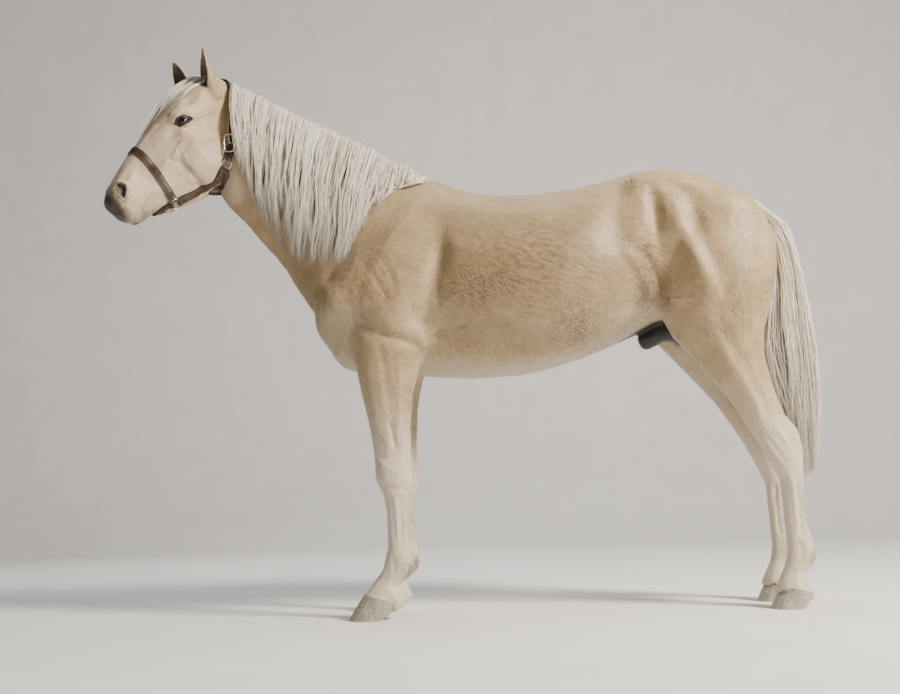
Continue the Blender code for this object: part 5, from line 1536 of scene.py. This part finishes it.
eyeLook = eyeMaterial()
eyeForm = {"rings": 40, "steps": 48, "cornea": 0.0011, "spread": 0.55}  # the cornea stands this far out of the ball
for word, centre in eyeCentres.items():
    out, front, up = eyeAxes(word)
    points = []
    for i in range(eyeForm["rings"] + 1):
        polar = math.pi * i / eyeForm["rings"]
        radius = eyeRadius + eyeForm["cornea"] * math.exp(-((polar / eyeForm["spread"]) ** 4))
        for j in range(eyeForm["steps"]):
            turn = 2 * math.pi * j / eyeForm["steps"]
            spoke = front * math.cos(turn) + up * math.sin(turn)
            points.append(centre + radius * (out * math.cos(polar) + math.sin(polar) * spoke))
    eye = meshObject(f"eyeball_{word}", points, tubeFaces(eyeForm["rings"] + 1, eyeForm["steps"]), eyeLook)
    turnOut(eye.data, merge=1e-6)
    eye.data.shade_smooth()
    away = (pointsOf(eye.data) - centre) / eyeRadius
    a, b, c = away @ front, away @ up, away @ out
    white = ramp(np.hypot(a, b), 0.86, 0.95) * 0.7
    pupil = ramp(np.hypot(a / 0.50, b / 0.22), 1.1, 0.85) * (c > 0)
    setColour(eye.data, "markings", np.stack((np.maximum(white, c < 0), pupil, 0 * a), axis=1))
    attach(eye, "root")
    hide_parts(f"eye_{word}")


# hooves
hornColours = {"grey": "#9a8f7f", "pale": "#bfb3a0", "streak": "#7b6f60", "heel": "#b8aa92", "worn": "#b0a186",
               "band": "#cfc4ae"}


def hoofMaterial():
    # Horn grown downwards: fine upright streaks, low ridges round the wall, a dull wax shine.
    made, tree, shader = newMaterial("hoof_horn", {"Roughness": 0.52, "Specular IOR Level": 0.45})
    place = objectPlace(tree)
    band, low, heel = channelsOf(tree, "markings")
    streaks = noiseOn(tree, place, 420, (1, 1, 22))
    clouds = noiseOn(tree, place, 34, (1, 1, 1.6), (0, 0, 0), 4.0)
    base = mixColours(tree, remap(tree, clouds, 0.3, 0.7), hornColours["grey"], hornColours["pale"])
    base = mixColours(tree, remap(tree, streaks, 0.38, 0.66, 0.0, 0.7), base, hornColours["streak"])
    base = mixColours(tree, heel, base, hornColours["heel"])
    base = mixColours(tree, low, base, hornColours["worn"])
    base = mixColours(tree, band, base, hornColours["band"])
    tree.links.new(base, shader.inputs["Base Color"])
    bumpOn(tree, shader, streaks, 0.4, 0.0006)
    return made


hornLook = hoofMaterial()
hoofForm = {"voxel": 0.0022, "ridgeStep": 0.0085, "ridge": 0.0006, "inside": 0.0004}
for node in [name for name in nodes if name.startswith("hoof_")]:
    hoof = meshObject(f"{node}_horn", *nodeCopy(node, 0.0))
    hoof = remeshed(hoof, hoofForm["voxel"] * (1))
    points = evened(pointsOf(hoof.data), edgesOf(hoof.data), 3, np.full(len(hoof.data.vertices), 0.8))
    setPoints(hoof.data, points)
    normals = normalsOf(hoof.data)
    low, high = (np.array(corner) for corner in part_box(node))
    height = (points[:, 2] - low[2]) / (high[2] - low[2])
    forward = (points[:, 0] - low[0]) / (high[0] - low[0])
    rise = points[:, 2] + 0.10 * (points[:, 0] - low[0])
    ridges = np.sin(2 * math.pi * rise / hoofForm["ridgeStep"]) * ramp(height, 0.12, 0.3)
    raised = ((ridges - 1) * hoofForm["ridge"] - hoofForm["inside"])[:, None]
    points = points + normals * raised * ramp(height, 0.0, 0.04)[:, None]
    points[:, 2] = np.maximum(points[:, 2], low[2])
    setPoints(hoof.data, points)
    hoof.data.materials.clear()
    hoof.data.materials.append(hornLook)
    hoof.data.shade_smooth()
    setColour(hoof.data, "markings", np.stack((0.8 * ramp(height + 0.35 * (forward - 0.3), 0.86, 1.0),
                                               0.7 * ramp(height, 0.10, 0.0), 0.8 * ramp(forward, 0.62, 0.95)), axis=1))
    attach(hoof, "root")
    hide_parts(node)


# halter
halterColours = {"leatherDark": "#21160f", "leather": "#38261a", "rubbed": "#5c412c", "edge": "#150e0a",
                 "metalDull": "#b9b2a4", "metal": "#d9d4c8", "threadDark": "#6d5943", "thread": "#9a8465"}


def leatherMaterial():
    # Oiled bridle leather: dark brown with darker edges, rubbed paler in patches along its length, pores half a
    # millimetre apart.
    made, tree, shader = newMaterial("oiled_leather", {"Roughness": 0.5, "Specular IOR Level": 0.45})
    place = objectPlace(tree)
    edge, worn = channelsOf(tree, "markings")[:2]
    clouds = noiseOn(tree, place, 55, detail=4.0)
    pores = noiseOn(tree, place, 900, detail=2.0)
    base = mixColours(tree, remap(tree, clouds, 0.3, 0.7), halterColours["leatherDark"],
                      halterColours["leather"])
    base = mixColours(tree, worn, base, halterColours["rubbed"])
    base = mixColours(tree, edge, base, halterColours["edge"])
    tree.links.new(base, shader.inputs["Base Color"])
    bumpOn(tree, shader, pores, 0.25, 0.0004)
    tree.links.new(remap(tree, clouds, 0.2, 0.8, 0.40, 0.62), shader.inputs["Roughness"])
    return made


def metalMaterial():
    # Nickel-plated steel, handled until its polish is soft.
    made, tree, shader = newMaterial("worn_nickel_plate", {"Metallic": 1.0, "Roughness": 0.3})
    place = objectPlace(tree)
    scuffs = noiseOn(tree, place, 260, detail=4.0)
    base = mixColours(tree, remap(tree, scuffs, 0.35, 0.65), halterColours["metalDull"],
                      halterColours["metal"])
    tree.links.new(base, shader.inputs["Base Color"])
    tree.links.new(remap(tree, scuffs, 0.3, 0.7, 0.22, 0.42), shader.inputs["Roughness"])
    return made


def threadMaterial():
    # Waxed linen thread, a little paler than the leather it closes.
    made, tree, shader = newMaterial("waxed_thread", {"Roughness": 0.7})
    place = objectPlace(tree)
    twist = noiseOn(tree, place, 1500, detail=1.0)
    base = mixColours(tree, remap(tree, twist, 0.35, 0.65), halterColours["threadDark"],
                      halterColours["thread"])
    tree.links.new(base, shader.inputs["Base Color"])
    return made


leather, metal, thread = leatherMaterial(), metalMaterial(), threadMaterial()
strapForm = {"thick": 0.0038, "step": 0.003, "clear": 0.0004, "fold": 0.040, "stitch": 0.0042, "margin": 0.0052,
             "cheekWidth": 0.029}
ringForm = {"radius": 0.0165, "wire": 0.0027, "off": 0.0012, "hold": 0.006}  # strap ends lie this far inside the ring


def flatFrame(name):  # the middle of a flat node, its long and short way, and the way it faces, out of the head
    points = np.array(nodeCopy(name, 0.0)[0])
    middle = points.mean(axis=0)
    values, ways = np.linalg.eigh(np.cov((points - middle).T))
    out = ways[:, 0]
    place, normal, index, away = skinTree.find_nearest(Vector(middle))
    out = out * (1 if out @ (middle - np.array(place) + 1e-6 * np.array(normal)) > 0 else -1)
    return middle, ways[:, 2], ways[:, 1], out


rings = {f"{kind}_{word}": flatFrame(f"halter_{kind}_ring_{word}")
         for kind in ("nose", "jaw") for word in ("left", "right")}


def skinUnder(point, way, far=0.05):
    return hitFrom(skinTree, point + way * far, -way, 2 * far)


def strapPath(controls):  # even steps along a smooth path on the skin, with the skin's own way out
    path = catmull(np.array(controls), 12)
    for turn in range(10):
        if turn % 4 == 0:
            path = np.array([np.array(skinTree.find_nearest(Vector(p))[0]) for p in path])
        path[1:-1] = (path[:-2] + path[1:-1] * 2 + path[2:]) / 4
    run = runAlong(path)
    at = np.linspace(0, run[-1], max(4, int(run[-1] / strapForm["step"])))
    path = np.stack([np.interp(at, run, path[:, i]) for i in range(3)], axis=1)
    outs = np.array([np.array(skinTree.find_nearest(Vector(p))[1]) for p in path])
    for turn in range(12):
        outs[1:-1] = (outs[:-2] + outs[1:-1] + outs[2:]) / 3
    along = unit(np.gradient(path, axis=0))
    outs = unit(outs - along * np.einsum("ij,ij->i", outs, along)[:, None])
    return path, along, outs, at, run[-1]


def strapPiece(name, controls, width, rolled=0.0, stitchRows=2, raised=None):
    # a flat strap bent over the skin; at both ends it is folded back on itself round a ring and sewn
    path, along, outs, at, total = strapPath(controls)
    across = np.cross(along, outs)
    heights = np.zeros((len(path), 5))
    for i in range(len(path)):
        for k, share in enumerate((-1, -0.5, 0, 0.5, 1)):
            hit = skinUnder(path[i] + across[i] * share * width / 2, outs[i])
            heights[i, k] = 0.0 if hit is None else (hit - path[i]) @ outs[i]
    tilt = (heights[:, 4] - heights[:, 0]) / width
    for turn in range(6):
        tilt[1:-1] = (tilt[:-2] + tilt[1:-1] + tilt[2:]) / 3
    shares = np.array((-1, -0.5, 0, 0.5, 1)) * width / 2
    base = (heights - tilt[:, None] * shares).max(axis=1) + strapForm["clear"]
    for turn in range(3):
        padded = np.pad(base, 1, mode="edge")
        base = np.maximum(base, (padded[:-2] + padded[1:-1] + padded[2:]) / 3)
    if raised is not None:
        base = base + raised(path)
    fold = np.zeros(len(path))
    over = np.zeros(len(path))
    for far in (at, total - at):
        sewn = ramp(far, strapForm["fold"] + 0.001, strapForm["fold"] - 0.002)
        fold = np.maximum(fold, (strapForm["thick"] * 0.85) * sewn)
        over = np.maximum(over, 2 * ringForm["wire"] * ramp(far, 0.016, 0.006))
    top = strapForm["thick"] + fold
    base = base + over
    edge = 0.0007
    # share of half the width, share of the thickness, distance inward
    section = [(-1.0, 0.0, edge), (-1.0, 0.35, 0.0), (-1.0, 0.75, 0.0), (-1.0, 1.0, edge), (-1.0, 1.0, 0.0028),
               (-1.0, 0.93, 0.0034), (-1.0, 1.0, 0.0040), (0.0, 1.04, 0.0)]
    section = section + [(-a, b, c) for a, b, c in section[-2::-1]]
    rings = []
    for i in range(len(path)):
        ring = []
        for share, high, inward in section:
            sideways = share * (width / 2) - math.copysign(inward, share) * (share != 0)
            height = base[i] + tilt[i] * sideways + top[i] * high
            if rolled:
                bend = math.sqrt(max(0.0, 1 - (sideways / (width / 2)) ** 2))
                height = base[i] + top[i] * 0.5 + (high - 0.5) * (top[i] + rolled * bend) + rolled * 0.35
            ring.append(path[i] + across[i] * sideways + outs[i] * height)
        rings.append(ring)
    count = len(section)
    points = np.array(rings).reshape(-1, 3)
    faces = tubeFaces(len(rings), count, turned=True)
    ends = (0, (len(rings) - 1) * count)
    faces += [tuple(ends[0] + j for j in range(count))[::-1], tuple(ends[1] + j for j in range(count))]
    made = meshObject(name, points, faces, leather)
    turnOut(made.data, cutCaps=True)
    made.data.set_sharp_from_angle(angle=math.radians(50))
    outer = np.array([abs(share) * (1 - abs(inward) / (width / 2)) for share, high, inward in section])
    rubbed = 0.35 * np.exp(-(((np.repeat(at, count) % 0.11) - 0.05) / 0.02) ** 2)
    setColour(made.data, "markings", np.stack((np.tile(ramp(outer, 0.78, 0.97), len(path)), rubbed,
                                               np.zeros(len(points))), axis=1))
    rows = []
    keep = slice(2, len(path) - 2)
    for offset in np.linspace(-1, 1, stitchRows):
        sideways = offset * (width / 2 - strapForm["margin"])
        rows.append(path[keep] + across[keep] * sideways
                    + outs[keep] * (base + tilt * sideways + top + 0.0002)[keep, None])
    return made, rows


def stitchTree():
    # Thread along each row: short rounded bars at even steps, lying along the row.
    tree = bpy.data.node_groups.new("stitch_rows", "GeometryNodeTree")
    for name, kind in (("Rows", "Geometry"), ("Step", "Float"), ("Length", "Float"), ("Thread", "Float"),
                       ("Look", "Material")):
        tree.interface.new_socket(name, in_out="INPUT", socket_type=f"NodeSocket{kind}")
    tree.interface.new_socket("Stitches", in_out="OUTPUT", socket_type="NodeSocketGeometry")
    given = addNode(tree, "NodeGroupInput").outputs
    curve = addNode(tree, "GeometryNodeMeshToCurve", None, {"Mesh": given["Rows"]}).outputs[0]
    evenly = addNode(tree, "GeometryNodeResampleCurve", {"mode": "LENGTH"},
                     {"Curve": curve, "Length": given["Step"]}).outputs[0]
    bar = addNode(tree, "GeometryNodeMeshUVSphere", {"Segments": 6, "Rings": 4}, {"Radius": given["Thread"]}).outputs[0]
    stretch = mathOn(tree, "DIVIDE", given["Length"], given["Thread"])
    sizes = addNode(tree, "ShaderNodeCombineXYZ", {"X": 1.0, "Y": 1.0}, {"Z": stretch}).outputs[0]
    bar = addNode(tree, "GeometryNodeTransform", None, {"Geometry": bar, "Scale": sizes}).outputs[0]
    tangent = addNode(tree, "GeometryNodeInputTangent").outputs[0]
    turn = addNode(tree, "FunctionNodeAlignRotationToVector", {"axis": "Z"}, {"Vector": tangent}).outputs[0]
    placed = addNode(tree, "GeometryNodeInstanceOnPoints", None,
                     {"Points": evenly, "Instance": bar, "Rotation": turn}).outputs[0]
    solid = addNode(tree, "GeometryNodeRealizeInstances", None, {"Geometry": placed}).outputs[0]
    shown = addNode(tree, "GeometryNodeSetMaterial", None, {"Geometry": solid, "Material": given["Look"]}).outputs[0]
    addNode(tree, "NodeGroupOutput", None, {"Stitches": shown})
    return tree


stitches = stitchTree()


def stitchPiece(name, rows):
    points, edges = [], []
    for row in rows:
        start = len(points)
        points += [tuple(p) for p in row]
        edges += [(start + i, start + i + 1) for i in range(len(row) - 1)]
    mesh = bpy.data.meshes.new(name)
    mesh.from_pydata(points, edges, [])
    made = linked(name, mesh)
    step = made.modifiers.new("stitches", "NODES")
    step.node_group = stitches
    values = {"Step": strapForm["stitch"], "Length": 0.0015, "Thread": 0.00045, "Look": thread}
    for item in stitches.interface.items_tree:
        if item.in_out == "INPUT" and item.name in values:
            step[item.identifier] = values[item.name]
    bpy.context.view_layer.update()
    made = applied(made)
    made.data.shade_smooth()
    return made


def wirePiece(name, loop, wire, sides=10, closed=True):  # a bent wire along a loop of points, facing one way
    count = len(loop)
    along = unit(np.roll(loop, -1, axis=0) - np.roll(loop, 1, axis=0)) if closed else unit(np.gradient(loop, axis=0))
    out = unit(np.cross(loop[count // 4] - loop[0], loop[count // 2] - loop[0]))
    side = unit(np.cross(along, out))
    points = [loop[i] + wire * (side[i] * math.cos(2 * math.pi * j / sides) + out * math.sin(2 * math.pi * j / sides))
              for i in range(count) for j in range(sides)]
    faces = tubeFaces(count, sides, joined=closed)
    if not closed:
        faces += [tuple(range(sides)), tuple((count - 1) * sides + j for j in range(sides))[::-1]]
    made = meshObject(name, points, faces, metal)
    turnOut(made.data)
    made.data.shade_smooth()
    return made


def roundedLoop(middle, long, short, halfLong, halfShort, power, count=48):
    turns = 2 * np.pi * np.arange(count) / count
    a, b = np.cos(turns), np.sin(turns)
    a, b = (np.sign(v) * np.abs(v) ** (2 / power) for v in (a, b))
    return middle + np.outer(a * halfLong, long) + np.outer(b * halfShort, short)


def towards(start, aim, distance):
    return start + unit(aim - start) * distance


def mirrored(points):
    return [*points, *((t, n, -left) for t, n, left in reversed(points[:-1]))]


def worn(part, node):
    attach(part, "root")
    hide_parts(node)


print("halter")
stitchRowsAll = []
for word in ("left", "right"):
    for kind in ("nose", "jaw"):
        middle, long, short, out = rings[f"{kind}_{word}"]
        reach, power = ringForm["radius"], 2.7 if kind == "nose" else 2.0
        loop = roundedLoop(middle + out * ringForm["off"], long, short, reach, reach, power)
        worn(wirePiece(f"{kind}_ring_{word}", loop, ringForm["wire"]), f"halter_{kind}_ring_{word}")
    side = 1 if word == "left" else -1
    bend = facePoint(0.344, -0.264, side * 0.065)
    bend = np.array(skinTree.find_nearest(Vector(bend))[0])
    nose, jaw = rings[f"nose_{word}"][0], rings[f"jaw_{word}"][0]
    reach = ringForm["radius"] - ringForm["hold"]
    controls = [towards(nose, bend, reach), bend, towards(jaw, bend, reach)]
    made, rows = strapPiece(f"cheek_strap_{word}", controls, strapForm["cheekWidth"], stitchRows=3)
    worn(made, f"halter_cheek_strap_{word}")
    stitchRowsAll += rows


def ringToRing(name, kind, middle, width, **how):
    between = [np.array(skinTree.find_nearest(Vector(facePoint(*p)))[0]) for p in mirrored(middle)]
    start, end = rings[f"{kind}_left"][0], rings[f"{kind}_right"][0]
    reach = ringForm["radius"] - ringForm["hold"]
    controls = [towards(start, between[0], reach), *between, towards(end, between[-1], reach)]
    made, rows = strapPiece(name, controls, width, **how)
    worn(made, f"halter_{name}")
    stitchRowsAll.extend(rows)


def overHair(path):  # the crown strap lies over the hair behind the ears
    face = faceCoords(path)
    return 0.002 + 0.004 * ramp(face[:, 0], 0.13, 0.0)


strapRuns = {  # the rings it joins; its course over the face, from the left ring to the middle; width; the rest
    "noseband": ("nose", ((0.440, -0.110, 0.08), (0.418, -0.020, 0.06), (0.407, 0.060, 0.0)), 0.027, {}),
    "chin_strap": ("nose", ((0.505, -0.196, 0.050), (0.540, -0.185, 0.0)), 0.018, {"stitchRows": 0, "rolled": 0.004}),
    "throat_strap": ("jaw", ((0.262, -0.264, 0.055), (0.310, -0.284, 0.0)), 0.016, {}),
    "crown_strap": ("jaw", ((0.155, -0.190, 0.09), (0.083, -0.127, 0.10), (0.003, -0.086, 0.08),
                            (-0.046, -0.034, 0.0)), 0.025, {"raised": overHair}),
}
for name, (kind, course, width, how) in strapRuns.items():
    ringToRing(name, kind, course, width, **how)
buckleForm = {"off": 0.004, "ahead": 0.009, "long": 0.0305, "short": 0.0175, "tongue": 0.030, "bow": 0.0045,
              "wires": (0.0026, 0.0022, 0.0016)}
middle, long, short, out = flatFrame("halter_buckle")
middle = middle + out * buckleForm["off"] + faceOut * buckleForm["ahead"]
loop = roundedLoop(middle, long, short, buckleForm["long"], buckleForm["short"], 4.0, 64)
buckle = [wirePiece("buckle", loop, buckleForm["wires"][0])]
bar = np.array([middle - short * buckleForm["short"] * (1 - 2 * k / 8) for k in range(9)])
tongue = np.array([middle - long * 0.002 + long * buckleForm["tongue"] * k / 10
                   + out * buckleForm["bow"] * math.sin(math.pi * k / 10) for k in range(11)])
for name, line, wire in zip(("buckle_bar", "buckle_tongue"), (bar, tongue), buckleForm["wires"][1:]):
    buckle.append(wirePiece(name, line, wire, closed=False))
for part in buckle:
    worn(part, "halter_buckle")
threads = stitchPiece("halter_stitches", stitchRowsAll)
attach(threads, "root")
print("halter stitches:", len(threads.data.polygons), "faces")

# stage
print("stage")


def stageMaterial():
    # Matt pale paper sweep.
    made, tree, shader = newMaterial("pale_paper", {"Roughness": 0.9, "Specular IOR Level": 0.2})
    place = objectPlace(tree)
    grain = noiseOn(tree, place, 5)
    base = mixColours(tree, remap(tree, grain, 0.3, 0.7), "#dedcd8", "#e4e2de")
    tree.links.new(base, shader.inputs["Base Color"])
    return made


stageForm = {"reach": 9.0, "back": 4.5, "bend": 1.4, "height": 6.0}


def sweepProfile():
    rows = [(-stageForm["reach"], 0.0), (stageForm["back"], 0.0)]
    for i in range(1, 13):
        turn = math.pi / 2 * i / 12
        rows.append((stageForm["back"] + stageForm["bend"] * math.sin(turn), stageForm["bend"] * (1 - math.cos(turn))))
    rows.append((stageForm["back"] + stageForm["bend"], stageForm["height"]))
    return rows


rows = sweepProfile()
floorPoints = [(x, y, z) for y, z in rows for x in (-stageForm["reach"], stageForm["reach"])]
floorFaces = [(2 * i, 2 * i + 1, 2 * i + 3, 2 * i + 2) for i in range(len(rows) - 1)]
floor = meshObject("floor", floorPoints, floorFaces, stageMaterial())

cameraForm = {"place": (-0.04, -4.0019937, 0.42440004), "up": 6.993, "roll": -1.637, "lens": 46.0}
camera = linked("camera", bpy.data.cameras.new("camera"))
pitch, roll = math.radians(cameraForm["up"]), math.radians(cameraForm["roll"])
ahead = np.array((0.0, math.cos(pitch), math.sin(pitch)))
level = np.array((1.0, 0.0, 0.0))
above = np.cross(level, ahead)
right = level * math.cos(roll) + above * math.sin(roll)
upward = above * math.cos(roll) - level * math.sin(roll)
facing = Matrix(np.stack((right, upward, -ahead), axis=1).tolist()).to_4x4()
camera.matrix_world = Matrix.Translation(bodyPoint(*cameraForm["place"])) @ facing
camera.data.sensor_width = 36.0
camera.data.lens = cameraForm["lens"]
camera.data.clip_end = 60
bpy.context.scene.camera = camera

lights = {  # place, aim, size, power, colour
    "key": ((4.4, -3.0, 4.3), (0.1, 0.0, 1.0), (1.4, 1.4), 1000, "#fff7ee"),
    "fill": ((-4.2, -3.4, 1.8), (-0.3, 0.0, 1.0), (3.0, 3.0), 16, "#f1f4ff"),
    "top": ((0.6, 0.6, 5.2), (0.0, 0.0, 1.0), (3.6, 2.6), 80, "#ffffff"),
    "back": ((-1.0, 4.0, 3.2), (0.0, 0.0, 1.2), (3.0, 2.0), 70, "#ffffff"),
}
for name, (place, aim, size, power, colour) in lights.items():
    lamp = linked(name, bpy.data.lights.new(name, "AREA"))
    lamp.data.shape = "RECTANGLE"
    lamp.data.size, lamp.data.size_y = size
    lamp.data.energy = power
    lamp.data.color = linear(colour)[:3]
    lamp.location = place
    lamp.rotation_euler = (Vector(aim) - Vector(place)).to_track_quat("-Z", "Y").to_euler()

world = bpy.data.worlds.new("studio")
bpy.context.scene.world = world
world.use_nodes = True
world.node_tree.nodes["Background"].inputs["Color"].default_value = linear("#e8ecf2")
world.node_tree.nodes["Background"].inputs["Strength"].default_value = 0.20
